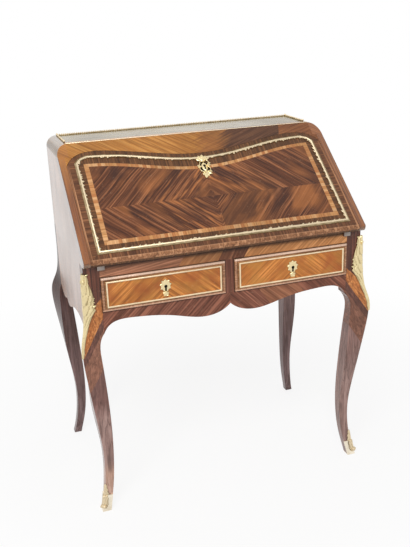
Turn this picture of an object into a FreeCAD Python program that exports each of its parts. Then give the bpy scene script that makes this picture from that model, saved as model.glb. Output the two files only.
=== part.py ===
import FreeCAD, Part
import math
import os
import re
import Sketcher
from FreeCAD import Placement, Rotation, Vector

# Slant-front desk on four cabriole legs. Millimetres, +Z up, the front faces -Y.
# The origin is on the floor, under the middle of the desk.

SIZES = {
    # Carcase
    "top_height": 930,       # floor to the flat top
    "side_out": 371,         # middle of the desk to the outside of a side panel
    "side_wall": 17,         # thickness of a side panel
    "back_set": 44,          # how much less the carcase reaches back than the fall's lip reaches forward
    "back_wall": 12,         # thickness of the back panel
    "back_lift": 16,         # top of the apron down to the lower edge of the back panel
    "top_thick": 16,         # thickness of the top board
    "shoulder_round": 28,    # radius of the rounded shoulder between side and top
    # Slope of the fall
    "lip_reach": 247,        # middle of the desk forward to the fall's lower corner
    "lip_height": 700,       # floor to the fall's lower corner
    "slope_run": 292,        # depth of the slope from that corner to the top's front edge
    # Fall
    "fall_thick": 16,
    "fall_gap": 0.7,         # running gap round the fall's edges
    "pivot_depth": 5,        # fall's inner face out to the pivot axis
    "nose_round": 15.5,      # radius of the fall's rounded lower nose about the pivot
    "crest_in": 63.3,        # fall's side edge in to the high points of its top edge
    "crest_margin": 32.7,    # top's front edge down the slope to those high points
    "bend_drop": 44,         # high points down the slope to where the side edge bends over
    "crest_dip": 40,         # how far the top edge dips in the middle
    "mould_wide": 9,
    "mould_high": 4.5,
    "mould_side": 19.8,      # fall's side edge in to the gilt moulding
    "mould_top": 13,         # fall's top edge down to the gilt moulding
    "mould_bottom": 19,      # fall's lower corner up to the gilt moulding
    "mould_corner": 9,       # how much higher the moulding's bend sits than the fall's own
    "leather_side": 34,      # fall's side edge in to the leather
    "leather_low": 32,       # fall's lower corner up to the leather
    "leather_drop": 101,     # fall's high points down to the leather's far edge
    "leather_thick": 1,
    "lock_wide": 64,
    "lock_tall": 42,
    "lock_thick": 12,
    "lock_edge": 6,          # fall's top edge in the middle down to its lock
    "pin_r": 3,
    "pin_in": 14,            # length of a pivot pin inside the fall
    "pin_out": 8,            # length of a pivot pin inside its bush
    "bush_r": 6,
    "bush_long": 10,
    "run_clear": 0.05,       # radial running clearance of a pin in its bush
    "seat_clear": 0.02,      # clearance of a pin or bush in the wood that holds it
    # Legs
    "lip_overhang": 25.5,    # fall's lip forward of the frieze
    "back_leg_set": 5,       # back legs' reference line behind the carcase's back
    "toe_out": 19,           # a leg's outer and inner curves, from its reference line
    "toe_in": 2,
    "pastern_out": 8,
    "pastern_in": 14,
    "pastern_z": 58,
    "ankle_out": 2.6,
    "ankle_in": 23.5,
    "ankle_z": 155,
    "calf_out": 22,
    "calf_in": 18.5,
    "calf_z": 320,
    "knee_out": 37,
    "knee_drop": 76,         # top of the apron down to the knees
    "thigh_in": 10,
    "thigh_drop": 45,        # knees down to the narrow inside of the thighs
    "bracket_drop": 56,      # top of the apron down to where the legs meet the aprons
    "stile_out": 17.5,       # leg above the knee, out from its reference line
    "stile_in": 22.5,        # leg above the knee, in from its reference line
    "stile_tall": 41.7,      # straight stile above the leg's curve
    # Gilt mounts of the front legs
    "chute_thick": 4,
    "chute_tail": 27,        # knees down to a knee mount's foot
    "chute_neck_up": 20,     # heights along it above the knees
    "chute_waist_up": 61,
    "chute_wide_up": 101,
    "chute_brow_up": 147,
    "chute_head": 14.7,      # rail's top down to its head
    "chute_tip": 5,          # widths of a knee mount on each face
    "chute_waist": 10,
    "chute_wide": 22,
    "chute_brow": 14,
    "sabot_wall": 2.5,
    "sabot_high": 42,
    "sabot_sole": 2,
    # Frieze: rail, drawers and apron
    "muntin_half": 12,       # half the width of the post between the drawers
    "drawer_tall": 86,
    "drawer_gap": 1,         # gap beside a drawer front, and half the gap over and under it
    "rail_tall": 30.7,
    "front_thick": 18,       # drawer fronts, muntin and apron
    "rail_thick": 22,
    "lip_wide": 7,
    "lip_proud": 5,
    "field_proud": 5,        # raised field of a drawer front, inside its lip
    "string_x": 10.5,        # drawer front's edge in to the gilt string, sideways
    "string_z": 9,           # drawer front's edge in to the gilt string, up and down
    "string_wide": 4,
    "string_proud": 2,
    "drawer_back_gap": 44.5, # drawer's end to the back panel
    "drawer_wall": 8,
    "drawer_side_high": 68,
    "drawer_bottom": 6,
    "ride_gap": 0.3,         # gap under what slides
    "drawer_lock_wide": 46,
    "drawer_lock_tall": 34,
    "drawer_lock_thick": 9,
    "floor_thick": 10,
    "divider_wide": 12,
    "cusp_drop": 28,         # top of the apron down to points of its lower edge
    "dart_drop": 45.5,
    "lobe_drop": 53.5,
    "mid_drop": 37.5,
    "arch_drop": 24.5,
    "haunch_drop": 32.5,
    "dart_x": 26,            # places of those points from the middle
    "lobe_x": 66,
    "mid_in": 181,           # places of the others from the stiles
    "arch_in": 79,
    "haunch_in": 19,
    "side_arch_up": 13,      # points of a side panel's lower edge above and below its ends
    "side_mid_down": 3,
    "side_lobe_down": 19.5,
    "side_cusp_down": 8,
    "side_tail_down": 20,
    "side_arch_y": 95,       # places along it, forward of the middle and then behind
    "side_mid_y": 3,
    "side_lobe_y": 55,
    "side_cusp_y": 90,
    "side_tail_y": 128,
    # Lopers
    "loper_set": 3,          # stile's inner face in to a loper's middle
    "loper_wide": 18,
    "loper_high": 11,
    "loper_long": 281,
    "loper_plate": 2,
    "loper_proud": 8,        # end of a loper, out from the frieze to be gripped
    "loper_gap": 0.4,        # open fall's moulding and turning nose to a loper
    "slide_gap": 0.5,        # gap beside a sliding loper
    "rail_drop": 0.5,        # rail's top below the lopers' tops
    "guide_wall": 8,
    "guide_floor": 14,
    "guide_back_gap": 41,    # guide's end to the back panel
    # Inside
    "board_thick": 18,       # fixed writing board
    "nest_deep": 116,
    "nest_low": 66.9,        # writing board up to the nest's shelf
    "nest_wall": 8,
    "inner_x": 200,          # middle of the desk to the partitions beside the inner drawers
    "hole_x": 118,           # middle of the desk to the upper partitions
    "inner_gap": 0.8,
    "inner_front": 9,
    "inner_wall": 5,
    "inner_back_gap": 4,
    "knob_r": 7,
    "knob_neck": 3,
    "knob_long": 13,
    # Trim of the top
    "gallery_in": 9,         # back of the carcase in to the gallery
    "gallery_thick": 3,
    "gallery_high": 5,
    "strip_wide": 4,
    "strip_high": 1.5,
    # Key plates
    "plate_thick": 2.5,
    "plate_wide": 28,
    "plate_tall": 46,
    "fall_plate_wide": 38,
    "fall_plate_tall": 60,
    "fall_plate_drop": 96,   # fall's high points down to its key plate's middle
    "keyhole_r": 3.2,
    "keyhole_drop": 10,
}

LAYOUT = {
    "slope": "atan2(top_height - lip_height; slope_run)",
    "slope_long": "sqrt(slope_run ^ 2 + (top_height - lip_height) ^ 2)",
    "face_n": "fall_thick - pivot_depth",
    "lip_u": "sqrt(nose_round ^ 2 - face_n ^ 2)",
    "tail_u": "sqrt(nose_round ^ 2 - pivot_depth ^ 2)",
    "pivot_y": "face_n * sin(slope) + lip_u * cos(slope) - lip_reach",
    "pivot_z": "lip_height - face_n * cos(slope) + lip_u * sin(slope)",
    "write_z": "pivot_z + pivot_depth",
    "side_in": "side_out - side_wall",
    "fall_half": "side_in - fall_gap",
    "crest_x": "fall_half - crest_in",
    "fall_crest": "slope_long - crest_margin",
    "fall_corner": "fall_crest - bend_drop",
    "leather_high": "fall_crest - leather_drop",
    "fall_plate_s": "fall_crest - fall_plate_drop",
    "back_plane": "lip_reach - back_set",
    "leg_x": "side_out - stile_out",
    "leg_y": "lip_reach - lip_overhang - stile_out",
    "back_leg_y": "back_plane + back_leg_set",
    "frieze_y": "-leg_y - stile_out",
    "stile_x": "leg_x - stile_in",
    "front_stile_y": "stile_in - leg_y",
    "back_stile_y": "back_leg_y - stile_in",
    "loper_x": "stile_x - loper_set",
    "loper_top": "pivot_z - nose_round - loper_gap",
    "loper_low": "loper_top - loper_high",
    "slot_in": "loper_x - loper_wide / 2 - slide_gap",
    "slot_out": "loper_x + loper_wide / 2 + slide_gap",
    "slot_low": "loper_low - ride_gap",
    "rail_top": "loper_top - rail_drop",
    "rail_low": "rail_top - rail_tall",
    "drawer_in": "muntin_half + drawer_gap",
    "drawer_out": "stile_x - drawer_gap",
    "drawer_high": "rail_low - 2 * drawer_gap",
    "drawer_low": "drawer_high - drawer_tall",
    "apron_top": "drawer_low - 2 * drawer_gap",
    "knee_z": "apron_top - knee_drop",
    "thigh_z": "knee_z - thigh_drop",
    "bracket_z": "apron_top - bracket_drop",
    "stile_z": "rail_top - stile_tall",
    "board_low": "write_z - board_thick",
    "board_front": "pivot_y + nose_round + fall_gap",
    "back_in": "back_plane - back_wall",
    "drawer_end": "back_in - drawer_back_gap",
    "guide_end": "back_in - guide_back_gap",
    "nest_front": "back_in - nest_deep",
    "nest_shelf_z": "write_z + nest_low",
    "top_low": "top_height - top_thick",
    "top_half": "side_out - shoulder_round",
    "shoulder_low": "top_height - shoulder_round",
    "top_front": "slope_run - lip_reach",
    "fascia_deep": "fall_thick / sin(slope)",
    "slope_pitch": "slope_run / (top_height - lip_height)",
    "inner_low": "write_z + ride_gap",
    "inner_high": "nest_shelf_z - inner_gap",
    "inner_in": "inner_x + nest_wall / 2 + inner_gap",
    "inner_out": "side_in - inner_gap",
}

PAD_START = {"YZ_Plane": ".Placement.Base.x", "XZ_Plane": ".Placement.Base.y"}
SIDES = ("left", "right")

doc = FreeCAD.newDocument("desk")
nodes = []


def fill_sheet(name, cells):
    """Spreadsheet with one named cell for each size or formula."""
    sheet = doc.addObject("Spreadsheet::Sheet", name)
    for row, (alias, text) in enumerate(cells, 1):
        sheet.set(f"A{row}", alias)
        sheet.set(f"B{row}", text)
        sheet.setAlias(f"B{row}", alias)
    return sheet


def ref(text):
    """Expression with each bare size name pointed at its sheet."""
    def full(match):
        word = match.group(0)
        if word in SIZES:
            return "sizes." + word
        return "layout." + word if word in LAYOUT else word
    return re.sub(r"[a-z]\w*", full, text)


sizes = fill_sheet("sizes", [(alias, str(value)) for alias, value in SIZES.items()])
layout = fill_sheet("layout", [(alias, "=" + ref(text)) for alias, text in LAYOUT.items()])
doc.recompute()


def val(text):
    """Number that an expression of size names stands for, in millimetres or degrees."""
    found = sizes.evalExpression(ref(text))
    return float(getattr(found, "Value", found))


# Helpers for boards, profiles and plain solids


def keep(piece):
    """Marks an object as one of the desk's own pieces."""
    nodes.append(piece)
    return piece


def bind(piece, **texts):
    """Binds properties of an object to expressions of size names."""
    for name, text in texts.items():
        piece.setExpression(name, ref(text))
    return piece


def place(piece, **texts):
    """Binds an object's position along x, y and z."""
    for axis, text in texts.items():
        piece.setExpression(".Placement.Base." + axis, ref(text))
    return piece


def board(name, x_range, y_range, z_range):
    """Rectangular board between pairs of expressions."""
    piece = doc.addObject("Part::Box", name)
    spans = dict(zip(("Length", "Width", "Height"), (x_range, y_range, z_range)))
    bind(piece, **{size: f"({high}) - ({low})" for size, (low, high) in spans.items()})
    return place(piece, x=x_range[0], y=y_range[0], z=z_range[0])


def on_side(side, inner, outer):
    """Pair of x expressions from inner to outer on the left or right of the desk."""
    return (f"-({outer})", f"-({inner})") if side == "left" else (inner, outer)


def cut(name, base, tool):
    """One object less another."""
    piece = doc.addObject("Part::Cut", name)
    piece.Base = base
    piece.Tool = tool
    return piece


def group(name, pieces):
    """Separate solids kept as one piece."""
    piece = doc.addObject("Part::Compound", name)
    piece.Links = pieces
    return piece


def draw_loop(sketch, points):
    """Closed outline in a sketch, each corner bound to a pair of expressions."""
    first = sketch.GeometryCount
    count = len(points)
    spots = [Vector(val(across), val(up), 0) for across, up in points]
    for step, spot in enumerate(spots):
        sketch.addGeometry(Part.LineSegment(spot, spots[(step + 1) % count]))
    for step in range(count):
        following = first + (step + 1) % count
        sketch.addConstraint(Sketcher.Constraint("Coincident", first + step, 2, following, 1))
    for step, (texts, spot) in enumerate(zip(points, spots)):
        for kind, text, number in zip(("DistanceX", "DistanceY"), texts, spot):
            index = sketch.addConstraint(Sketcher.Constraint(kind, -1, 1, first + step, 1, number))
            sketch.setExpression(f"Constraints[{index}]", ref(text))


def profile_sketch(body, role, loops):
    """Sketch of closed outlines on one of a body's own origin planes."""
    sketch = body.newObject("Sketcher::SketchObject", body.Name + "_profile")
    plane = next(item for item in body.Origin.OriginFeatures if item.Role == role)
    sketch.AttachmentSupport = [(plane, "")]
    sketch.MapMode = "FlatFace"
    for points in loops:
        draw_loop(sketch, points)
    return sketch


def padded(name, role, loops, start, length):
    """Body padded from an outline: towards +X on YZ_Plane, towards -Y on XZ_Plane."""
    body = doc.addObject("PartDesign::Body", name)
    sketch = profile_sketch(body, role, loops)
    pad = body.newObject("PartDesign::Pad", name + "_pad")
    pad.Profile = sketch
    bind(pad, Length=length)
    body.setExpression(PAD_START[role], ref(start))
    return body


def rectangle(x_range, z_range):
    """Corners of an upright rectangle."""
    (left, right), (low, high) = x_range, z_range
    return [(left, low), (right, low), (right, high), (left, high)]


def inset(pair, amount):
    """Pair of expressions moved towards each other."""
    return (f"{pair[0]} + {amount}", f"{pair[1]} - ({amount})")


def feature(name, shape, placement=None):
    """Piece whose shape is worked out here from the sheets."""
    piece = doc.addObject("Part::Feature", name)
    piece.Shape = shape
    if placement is not None:
        piece.Placement = placement.multiply(shape.Placement)
    return piece


def mirrored(shape, side):
    """Shape made for the right side, turned over for the left."""
    return shape.mirror(Vector(0, 0, 0), Vector(1, 0, 0)) if side == "left" else shape


def spline(points, start=None, end=None):
    """Smooth edge through points, with set directions at its ends where given."""
    curve = Part.BSplineCurve()
    if start is None:
        curve.interpolate(points)
    else:
        curve.interpolate(Points=points, InitialTangent=start, FinalTangent=end)
    return curve.toShape()


def chain(points):
    """Straight edges through points."""
    return [Part.makeLine(start, end) for start, end in zip(points, points[1:])]


def prism(edges, direction):
    """Solid from a closed run of edges, pushed along a direction."""
    return Part.Face(Part.Wire(Part.__sortEdges__(edges))).extrude(direction)


# Legs, and the gilt mounts that follow their curves

LEG_BLANK = 60
UP = Vector(0, 0, 1)


def leg_outer(stile_out, knee, extra=0.0):
    """Outer curve of a leg, its toe and its top, as distances from the leg's reference line."""
    names = (("toe_out", "0"), ("pastern_out", "pastern_z"), ("ankle_out", "ankle_z"),
             ("calf_out", "calf_z"))
    points = [Vector(val(out), 0, val(height)) for out, height in names]
    points += [Vector(knee, 0, val("knee_z")), Vector(stile_out, 0, val("stile_z"))]
    points = [spot + Vector(extra, 0, 0) for spot in points]
    return spline(points, Vector(-0.25, 0, 1), UP), points[0], points[-1]


def at_height(edge, height):
    """Point of a rising edge at a height."""
    reach = val("side_out")
    level = Part.makeLine(Vector(-reach, 0, height), Vector(reach, 0, height))
    return edge.distToShape(level)[1][0][0]


def leg_inner():
    """Inner curve of a leg, from the foot to the bracket under the apron."""
    names = (("toe_in", "0"), ("pastern_in", "pastern_z"), ("ankle_in", "ankle_z"),
             ("calf_in", "calf_z"), ("thigh_in", "thigh_z"))
    points = [Vector(-val(inner), 0, val(height)) for inner, height in names]
    points.append(Vector(-val("stile_in"), 0, val("bracket_z")))
    return spline(points, Vector(-0.2, 0, 1), Vector(-1, 0, 1)), points[0], points[-1]


def back_knee(stile_out, target):
    """Knee that makes a leg's outer curve reach just as far out as wanted."""
    knee = target
    for _ in range(4):
        reach = max(spot.x for spot in leg_outer(stile_out, knee)[0].discretize(500))
        knee += target - reach
    return knee


def leg_outline(stile_out, knee, grow=0.0):
    """Closed outline of a leg seen from one side."""
    top = val("rail_top")
    outer, toe, shoulder = leg_outer(stile_out, knee, grow)
    inner, heel, bracket = leg_inner()
    straight = chain([shoulder, Vector(shoulder.x, 0, top), Vector(bracket.x, 0, top), bracket])
    return Part.Wire([Part.makeLine(heel, toe), outer] + straight + [inner])


def even_blank(outline):
    """Blank with one outline all through."""
    blank = Part.Face(outline).extrude(Vector(0, 2 * LEG_BLANK, 0))
    blank.translate(Vector(0, -LEG_BLANK, 0))
    return blank


def tapered_blank(stile_out, knee, turn, grow=0.0):
    """Blank whose knee swells at the outer corner and runs out flush where an apron joins."""
    inner = val("stile_in")
    rise = (knee - stile_out) / (knee + inner)
    outlines = []
    for place_out in (knee + LEG_BLANK, -inner - LEG_BLANK):
        here = leg_outline(stile_out, knee + rise * (place_out - knee), grow)
        here.translate(Vector(0, turn * place_out, 0))
        outlines.append(here)
    return Part.makeLoft(outlines, True, True)


def joined_blanks(ahead, beside, y_reference, y_sign):
    """Right-hand leg sawn to one outline from the front and to one from the side."""
    beside.rotate(Vector(0, 0, 0), UP, 90 * y_sign)
    leg = ahead.common(beside)
    leg.translate(Vector(val("leg_x"), y_sign * y_reference, 0))
    return leg


def front_leg(grow=0.0):
    """Right-hand front leg, or a copy with thicker outer faces to make mounts from."""
    shape = (val("stile_out"), val("knee_out"))
    ahead = tapered_blank(*shape, -1, grow)
    beside = tapered_blank(*shape, 1, grow)
    return joined_blanks(ahead, beside, val("leg_y"), -1)


def back_leg(reach):
    """Right-hand back leg, flat with the carcase behind, with a knee that reaches as far as given."""
    stile = val("back_plane - back_leg_y")
    knee = back_knee(stile, reach - val("back_leg_y"))
    ahead = tapered_blank(val("stile_out"), val("knee_out"), 1)
    return joined_blanks(ahead, even_blank(leg_outline(stile, knee)), val("back_leg_y"), 1)


def slab(low, high):
    """Wide slab between two heights, to trim legs and mounts."""
    reach = val("side_out") * 4
    block = Part.makeBox(reach, reach, high - low)
    block.translate(Vector(-reach / 2, -reach / 2, low))
    return block


def loper_notch():
    """Room for a loper in the top of a right-hand front leg."""
    low = val("slot_low")
    block = Part.makeBox(val("slot_out - slot_in"), 2 * LEG_BLANK, val("rail_top") - low + 1)
    block.translate(Vector(val("slot_in"), -val("leg_y") - LEG_BLANK, low))
    return block


def chute_bound():
    """Block that holds a right-hand knee mount's breadth on the face that looks forward."""
    curve, _, shoulder = leg_outer(val("stile_out"), val("knee_out"))
    straight = Part.makeLine(shoulder, Vector(shoulder.x, 0, val("rail_top")))
    outer = Part.Wire([curve, straight])
    edge = []
    spans = (("chute_tip", "knee_z - chute_tail"), ("chute_tip", "knee_z + chute_neck_up"),
             ("chute_waist", "knee_z + chute_waist_up"), ("chute_wide", "knee_z + chute_wide_up"),
             ("chute_brow", "knee_z + chute_brow_up"), ("chute_tip", "rail_top - chute_head"))
    for wide, height in spans:
        edge.append(at_height(outer, val(height)) - Vector(val(wide), 0, 0))
    far = val("knee_out") + LEG_BLANK
    corners = [edge[-1], Vector(far, 0, edge[-1].z), Vector(far, 0, edge[0].z), edge[0]]
    block = prism([spline(edge)] + chain(corners), Vector(0, 4 * LEG_BLANK, 0))
    block.translate(Vector(0, -2 * LEG_BLANK, 0))
    return block


def chute_solid(leg):
    """Right-hand knee mount: a thin skin over the leg's outer corner."""
    skin = front_leg(val("chute_thick"))
    spot = Vector(val("leg_x"), -val("leg_y"), 0)
    ahead = chute_bound()
    beside = ahead.copy()
    beside.rotate(Vector(0, 0, 0), UP, -90)
    for block in (ahead, beside):
        block.translate(spot)
    return skin.common(ahead).common(beside).cut(leg)


def sabot_solid(leg):
    """Right-hand foot mount: a shoe over the foot's two outer faces, with a sole under it."""
    shoe = front_leg(val("sabot_wall"))
    return shoe.common(slab(0, val("sabot_high"))).cut(leg)


def make_legs():
    """Four legs, with knee and foot mounts on the front pair."""
    front = front_leg().cut(slab(-1, val("sabot_sole"))).cut(loper_notch())
    chute = chute_solid(front)
    front_reach = max(val("nose_round - pivot_y"), -chute.optimalBoundingBox(False, False).YMin)
    back = back_leg(front_reach)
    sabot = sabot_solid(front)
    for side in SIDES:
        keep(feature(f"front_{side}_leg", mirrored(front, side)))
        keep(feature(f"back_{side}_leg", mirrored(back, side)))
        keep(feature(f"{side}_chute", mirrored(chute, side)))
        keep(feature(f"{side}_sabot", mirrored(sabot, side)))


# Side panels, shoulders, top and back


def slope_point(u, n):
    """Point in the middle plane, u up the slope and n out of it from the pivot."""
    angle = math.radians(val("slope"))
    y = val("pivot_y") + u * math.cos(angle) - n * math.sin(angle)
    return Vector(0, y, val("pivot_z") + u * math.sin(angle) + n * math.cos(angle))


def slope_y(height):
    """Depth of the slanted front at a height."""
    return (height - val("lip_height")) * val("slope_pitch") - val("lip_reach")


def scallop(front, back):
    """Lower edge of a side panel: an arch behind the front leg, then two lobes with a cusp between."""
    spring = val("bracket_z")
    names = (("-side_arch_y", "side_arch_up"), ("-side_mid_y", "-side_mid_down"),
             ("side_lobe_y", "-side_lobe_down"), ("side_cusp_y", "-side_cusp_down"),
             ("side_tail_y", "-side_tail_down"))
    spots = [Vector(0, val(place_y), spring + val(height)) for place_y, height in names]
    ahead = [Vector(0, front, spring)] + spots[:4]
    behind = spots[3:] + [Vector(0, back, spring)]
    return [spline(ahead), spline(behind)]


def side_panel():
    """Right-hand side panel, notched over both legs, with the hole for the pivot bush."""
    top, low = val("shoulder_low"), val("rail_top")
    lip = slope_point(-val("lip_u"), val("face_n"))
    tail = slope_point(-val("tail_u"), -val("pivot_depth"))
    nose = slope_point(-val("nose_round"), 0)
    front, back = val("front_stile_y"), val("back_stile_y")
    rear = val("back_plane")
    spring = val("bracket_z")
    edges = scallop(front, back)
    edges += chain([Vector(0, front, spring), Vector(0, front, low), Vector(0, val("frieze_y"), low), tail])
    edges.append(Part.Arc(tail, nose, lip).toShape())
    edges += chain([lip, Vector(0, slope_y(top), top), Vector(0, rear, top), Vector(0, rear, low),
                    Vector(0, back, low), Vector(0, back, spring)])
    panel = prism(edges, Vector(val("side_wall"), 0, 0))
    panel.translate(Vector(val("side_in"), 0, 0))
    pivot = Vector(val("side_in"), val("pivot_y"), val("pivot_z"))
    hole = Part.makeCylinder(val("bush_r + seat_clear"), val("bush_long"), pivot, Vector(1, 0, 0))
    return panel.cut(hole)


def make_sides():
    """Side panels and the rounded shoulder rails on them."""
    panel = side_panel()
    for side in SIDES:
        keep(feature(f"{side}_side_panel", mirrored(panel, side)))
        start = "top_half" if side == "right" else "-side_out"
        low_front = "(shoulder_low - lip_height) * slope_pitch - lip_reach"
        outline = [(low_front, "shoulder_low"), ("back_plane", "shoulder_low"),
                   ("back_plane", "top_height"), ("top_front", "top_height")]
        blank = padded(f"{side}_shoulder_blank", "YZ_Plane", [outline], start, "shoulder_round")
        turned = doc.addObject("Part::Cylinder", f"{side}_shoulder_round")
        bind(turned, Radius="shoulder_round", Height="2 * (back_plane + lip_reach)")
        turned.Placement = Placement(Vector(0, 0, 0), Rotation(Vector(1, 0, 0), -90))
        middle = "top_half" if side == "right" else "-top_half"
        place(turned, x=middle, y="-(back_plane + lip_reach)", z="shoulder_low")
        shoulder = doc.addObject("Part::Common", f"{side}_shoulder")
        shoulder.Base = blank
        shoulder.Tool = turned
        keep(shoulder)


def make_top():
    """Top board, its gallery and edge strip, and the back panel."""
    outline = [("top_front + fascia_deep", "top_height"), ("back_plane", "top_height"),
               ("back_plane", "top_low"),
               ("top_front + fascia_deep - top_thick * slope_pitch", "top_low")]
    keep(padded("top_board", "YZ_Plane", [outline], "-top_half", "2 * top_half"))
    rim = board("gallery_rim", ("-top_half", "top_half"),
                ("top_front + fascia_deep", "back_plane - gallery_in"),
                ("top_height", "top_height + gallery_high"))
    hollow = board("gallery_hollow", ("gallery_thick - top_half", "top_half - gallery_thick"),
                   ("top_front", "back_plane - gallery_in - gallery_thick"),
                   ("top_height - 1", "top_height + gallery_high + 1"))
    keep(cut("gallery", rim, hollow))
    keep(board("top_edge_strip", ("-top_half", "top_half"),
               ("top_front + strip_high", "top_front + strip_high + strip_wide"),
               ("top_height", "top_height + strip_high")))
    low = "apron_top - back_lift"
    outline = [("-stile_x", low), ("stile_x", low), ("stile_x", "rail_top"),
               ("side_in", "rail_top"), ("side_in", "shoulder_low"), ("top_half", "shoulder_low"),
               ("top_half", "top_low"), ("-top_half", "top_low"), ("-top_half", "shoulder_low"),
               ("-side_in", "shoulder_low"), ("-side_in", "rail_top"), ("-stile_x", "rail_top")]
    keep(padded("back_panel", "XZ_Plane", [outline], "back_plane", "back_wall"))


# Fall and the fixed board above it, drawn flat: x across, y up the slope, z out of it


def fall_frame():
    """Place of the flat drawing on the desk: at the pivot, tilted to the slope."""
    spot = Vector(0, val("pivot_y"), val("pivot_z"))
    return Placement(spot, Rotation(Vector(1, 0, 0), val("slope")))


def crest(half, corner, top, n):
    """Serpentine edge from one bend to the other, and its right-hand end."""
    reach, dip = val("crest_x"), val("crest_dip")
    bend = top - corner
    right = [Vector(half, corner, n), Vector(half - 0.25 * (half - reach), corner + 0.56 * bend, n),
             Vector(half - 0.62 * (half - reach), corner + 0.89 * bend, n)]
    for share in (1, 0.75, 0.5, 0.25):
        drop = dip * (1 + math.cos(math.pi * share)) / 2
        right.append(Vector(reach * share, top - drop, n))
    left = [Vector(-spot.x, spot.y, n) for spot in reversed(right)]
    return spline(right + [Vector(0, top - dip, n)] + left), right[0], left[-1]


def flap(half, low, corner, top, n_low, n_high):
    """Plate with straight sides and foot and a serpentine top."""
    edge, right, left = crest(half, corner, top, n_low)
    foot = [left, Vector(-half, low, n_low), Vector(half, low, n_low), right]
    return prism([edge] + chain(foot), Vector(0, 0, n_high - n_low))


def fall_panel():
    """Plate with a rounded nose, trimmed to the serpentine outline and bored for the pivot pins."""
    face, back = val("face_n"), -val("pivot_depth")
    far = val("fall_crest + fall_thick")
    lip = Vector(0, -val("lip_u"), face)
    tail = Vector(0, -val("tail_u"), back)
    nose = Part.Arc(tail, Vector(0, -val("nose_round"), 0), lip).toShape()
    edges = [nose] + chain([lip, Vector(0, far, face), Vector(0, far, back), tail])
    blank = prism(edges, Vector(2 * val("fall_half"), 0, 0))
    blank.translate(Vector(-val("fall_half"), 0, 0))
    shift = val("lip_u")
    outline = flap(val("fall_half"), -2 * val("nose_round"), val("fall_corner") - shift,
                   val("fall_crest") - shift, back - 1, face + 1)
    panel = blank.common(outline)
    for sign in (-1, 1):
        start = Vector(sign * (val("fall_half") - val("pin_in")), 0, 0)
        hole = Part.makeCylinder(val("pin_r + seat_clear"), val("pin_in + 1"), start, Vector(sign, 0, 0))
        panel = panel.cut(hole)
    return panel


def moulding():
    """Gilt frame that follows the fall's outline."""
    shift = val("lip_u")
    face, proud = val("face_n"), val("mould_high")
    half = val("fall_half - mould_side")
    low = val("mould_bottom") - shift
    corner = val("fall_corner + mould_corner") - shift
    top = val("fall_crest - mould_top") - shift
    wide = val("mould_wide")
    outer = flap(half, low, corner, top, face, face + proud)
    bend = 0.6 * wide
    inner = flap(half - wide, low + wide, corner - bend, top - wide, face - 1, face + proud + 1)
    return outer.cut(inner)


def fascia():
    """Fixed slanted board between the fall's top edge and the top."""
    shift = val("lip_u") - val("fall_gap")
    face, back = val("face_n"), -val("pivot_depth")
    half = val("side_in")
    edge, right, left = crest(half, val("fall_corner") - shift, val("fall_crest") - shift, back)
    far = val("slope_run + fall_crest")
    head = [right, Vector(half, far, back), Vector(-half, far, back), left]
    plate = prism([edge] + chain(head), Vector(0, 0, face - back))
    plate.Placement = fall_frame()
    plate = plate.cut(slab(val("top_height"), val("top_height") + far))
    for sign in (-1, 1):
        corner = Part.makeBox(val("side_out"), 2 * far, far)
        left_edge = val("top_half") if sign > 0 else -val("top_half + side_out")
        corner.translate(Vector(left_edge, -far, val("shoulder_low")))
        plate = plate.cut(corner)
    return plate


def make_fall():
    """Fixed fascia, then the fall with its mounts, leather, lock and pivots."""
    frame = fall_frame()
    shift = val("lip_u")
    back = -val("pivot_depth")
    keep(feature("fascia_rail", fascia()))
    keep(feature("fall_panel", fall_panel(), frame))
    keep(feature("fall_moulding", moulding(), frame))
    plate = key_plate(val("fall_plate_wide"), val("fall_plate_tall"))
    plate.translate(Vector(0, val("fall_plate_s") - shift, val("face_n")))
    keep(feature("fall_escutcheon", plate, frame))
    half = val("fall_half - leather_side")
    leather = Part.makeBox(2 * half, val("leather_high - leather_low"), val("leather_thick"))
    leather.translate(Vector(-half, val("leather_low") - shift, back - val("leather_thick")))
    keep(feature("fall_leather", leather, frame))
    high = val("fall_crest - crest_dip - lock_edge") - shift
    lock = Part.makeBox(val("lock_wide"), val("lock_tall"), val("lock_thick"))
    lock.translate(Vector(-val("lock_wide") / 2, high - val("lock_tall"), back - val("lock_thick")))
    keep(feature("fall_lock", lock, frame))
    pins, bushes = [], []
    for side in SIDES:
        sign = 1 if side == "right" else -1
        turn = Rotation(Vector(0, 1, 0), 90 * sign)
        pins.append(rod(f"{side}_pivot_pin", "pin_r", "pin_in + fall_gap + pin_out", turn))
        start = "fall_half - pin_in"
        place(pins[-1], x=on_side(side, start, start)[0], y="pivot_y", z="pivot_z")
        shell = rod(f"{side}_bush_shell", "bush_r", "bush_long", turn)
        bore = rod(f"{side}_bush_bore", "pin_r + run_clear", "bush_long", turn)
        for tube in (shell, bore):
            place(tube, x=on_side(side, "side_in", "side_in")[0], y="pivot_y", z="pivot_z")
        bushes.append(cut(f"{side}_pivot_bush", shell, bore))
    keep(group("fall_pivot_pins", pins))
    keep(group("pivot_bushes", bushes))


def rod(name, radius, length, turn):
    """Round bar along the turned direction."""
    piece = doc.addObject("Part::Cylinder", name)
    bind(piece, Radius=radius, Height=length)
    piece.Placement = Placement(Vector(0, 0, 0), turn)
    return piece


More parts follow.
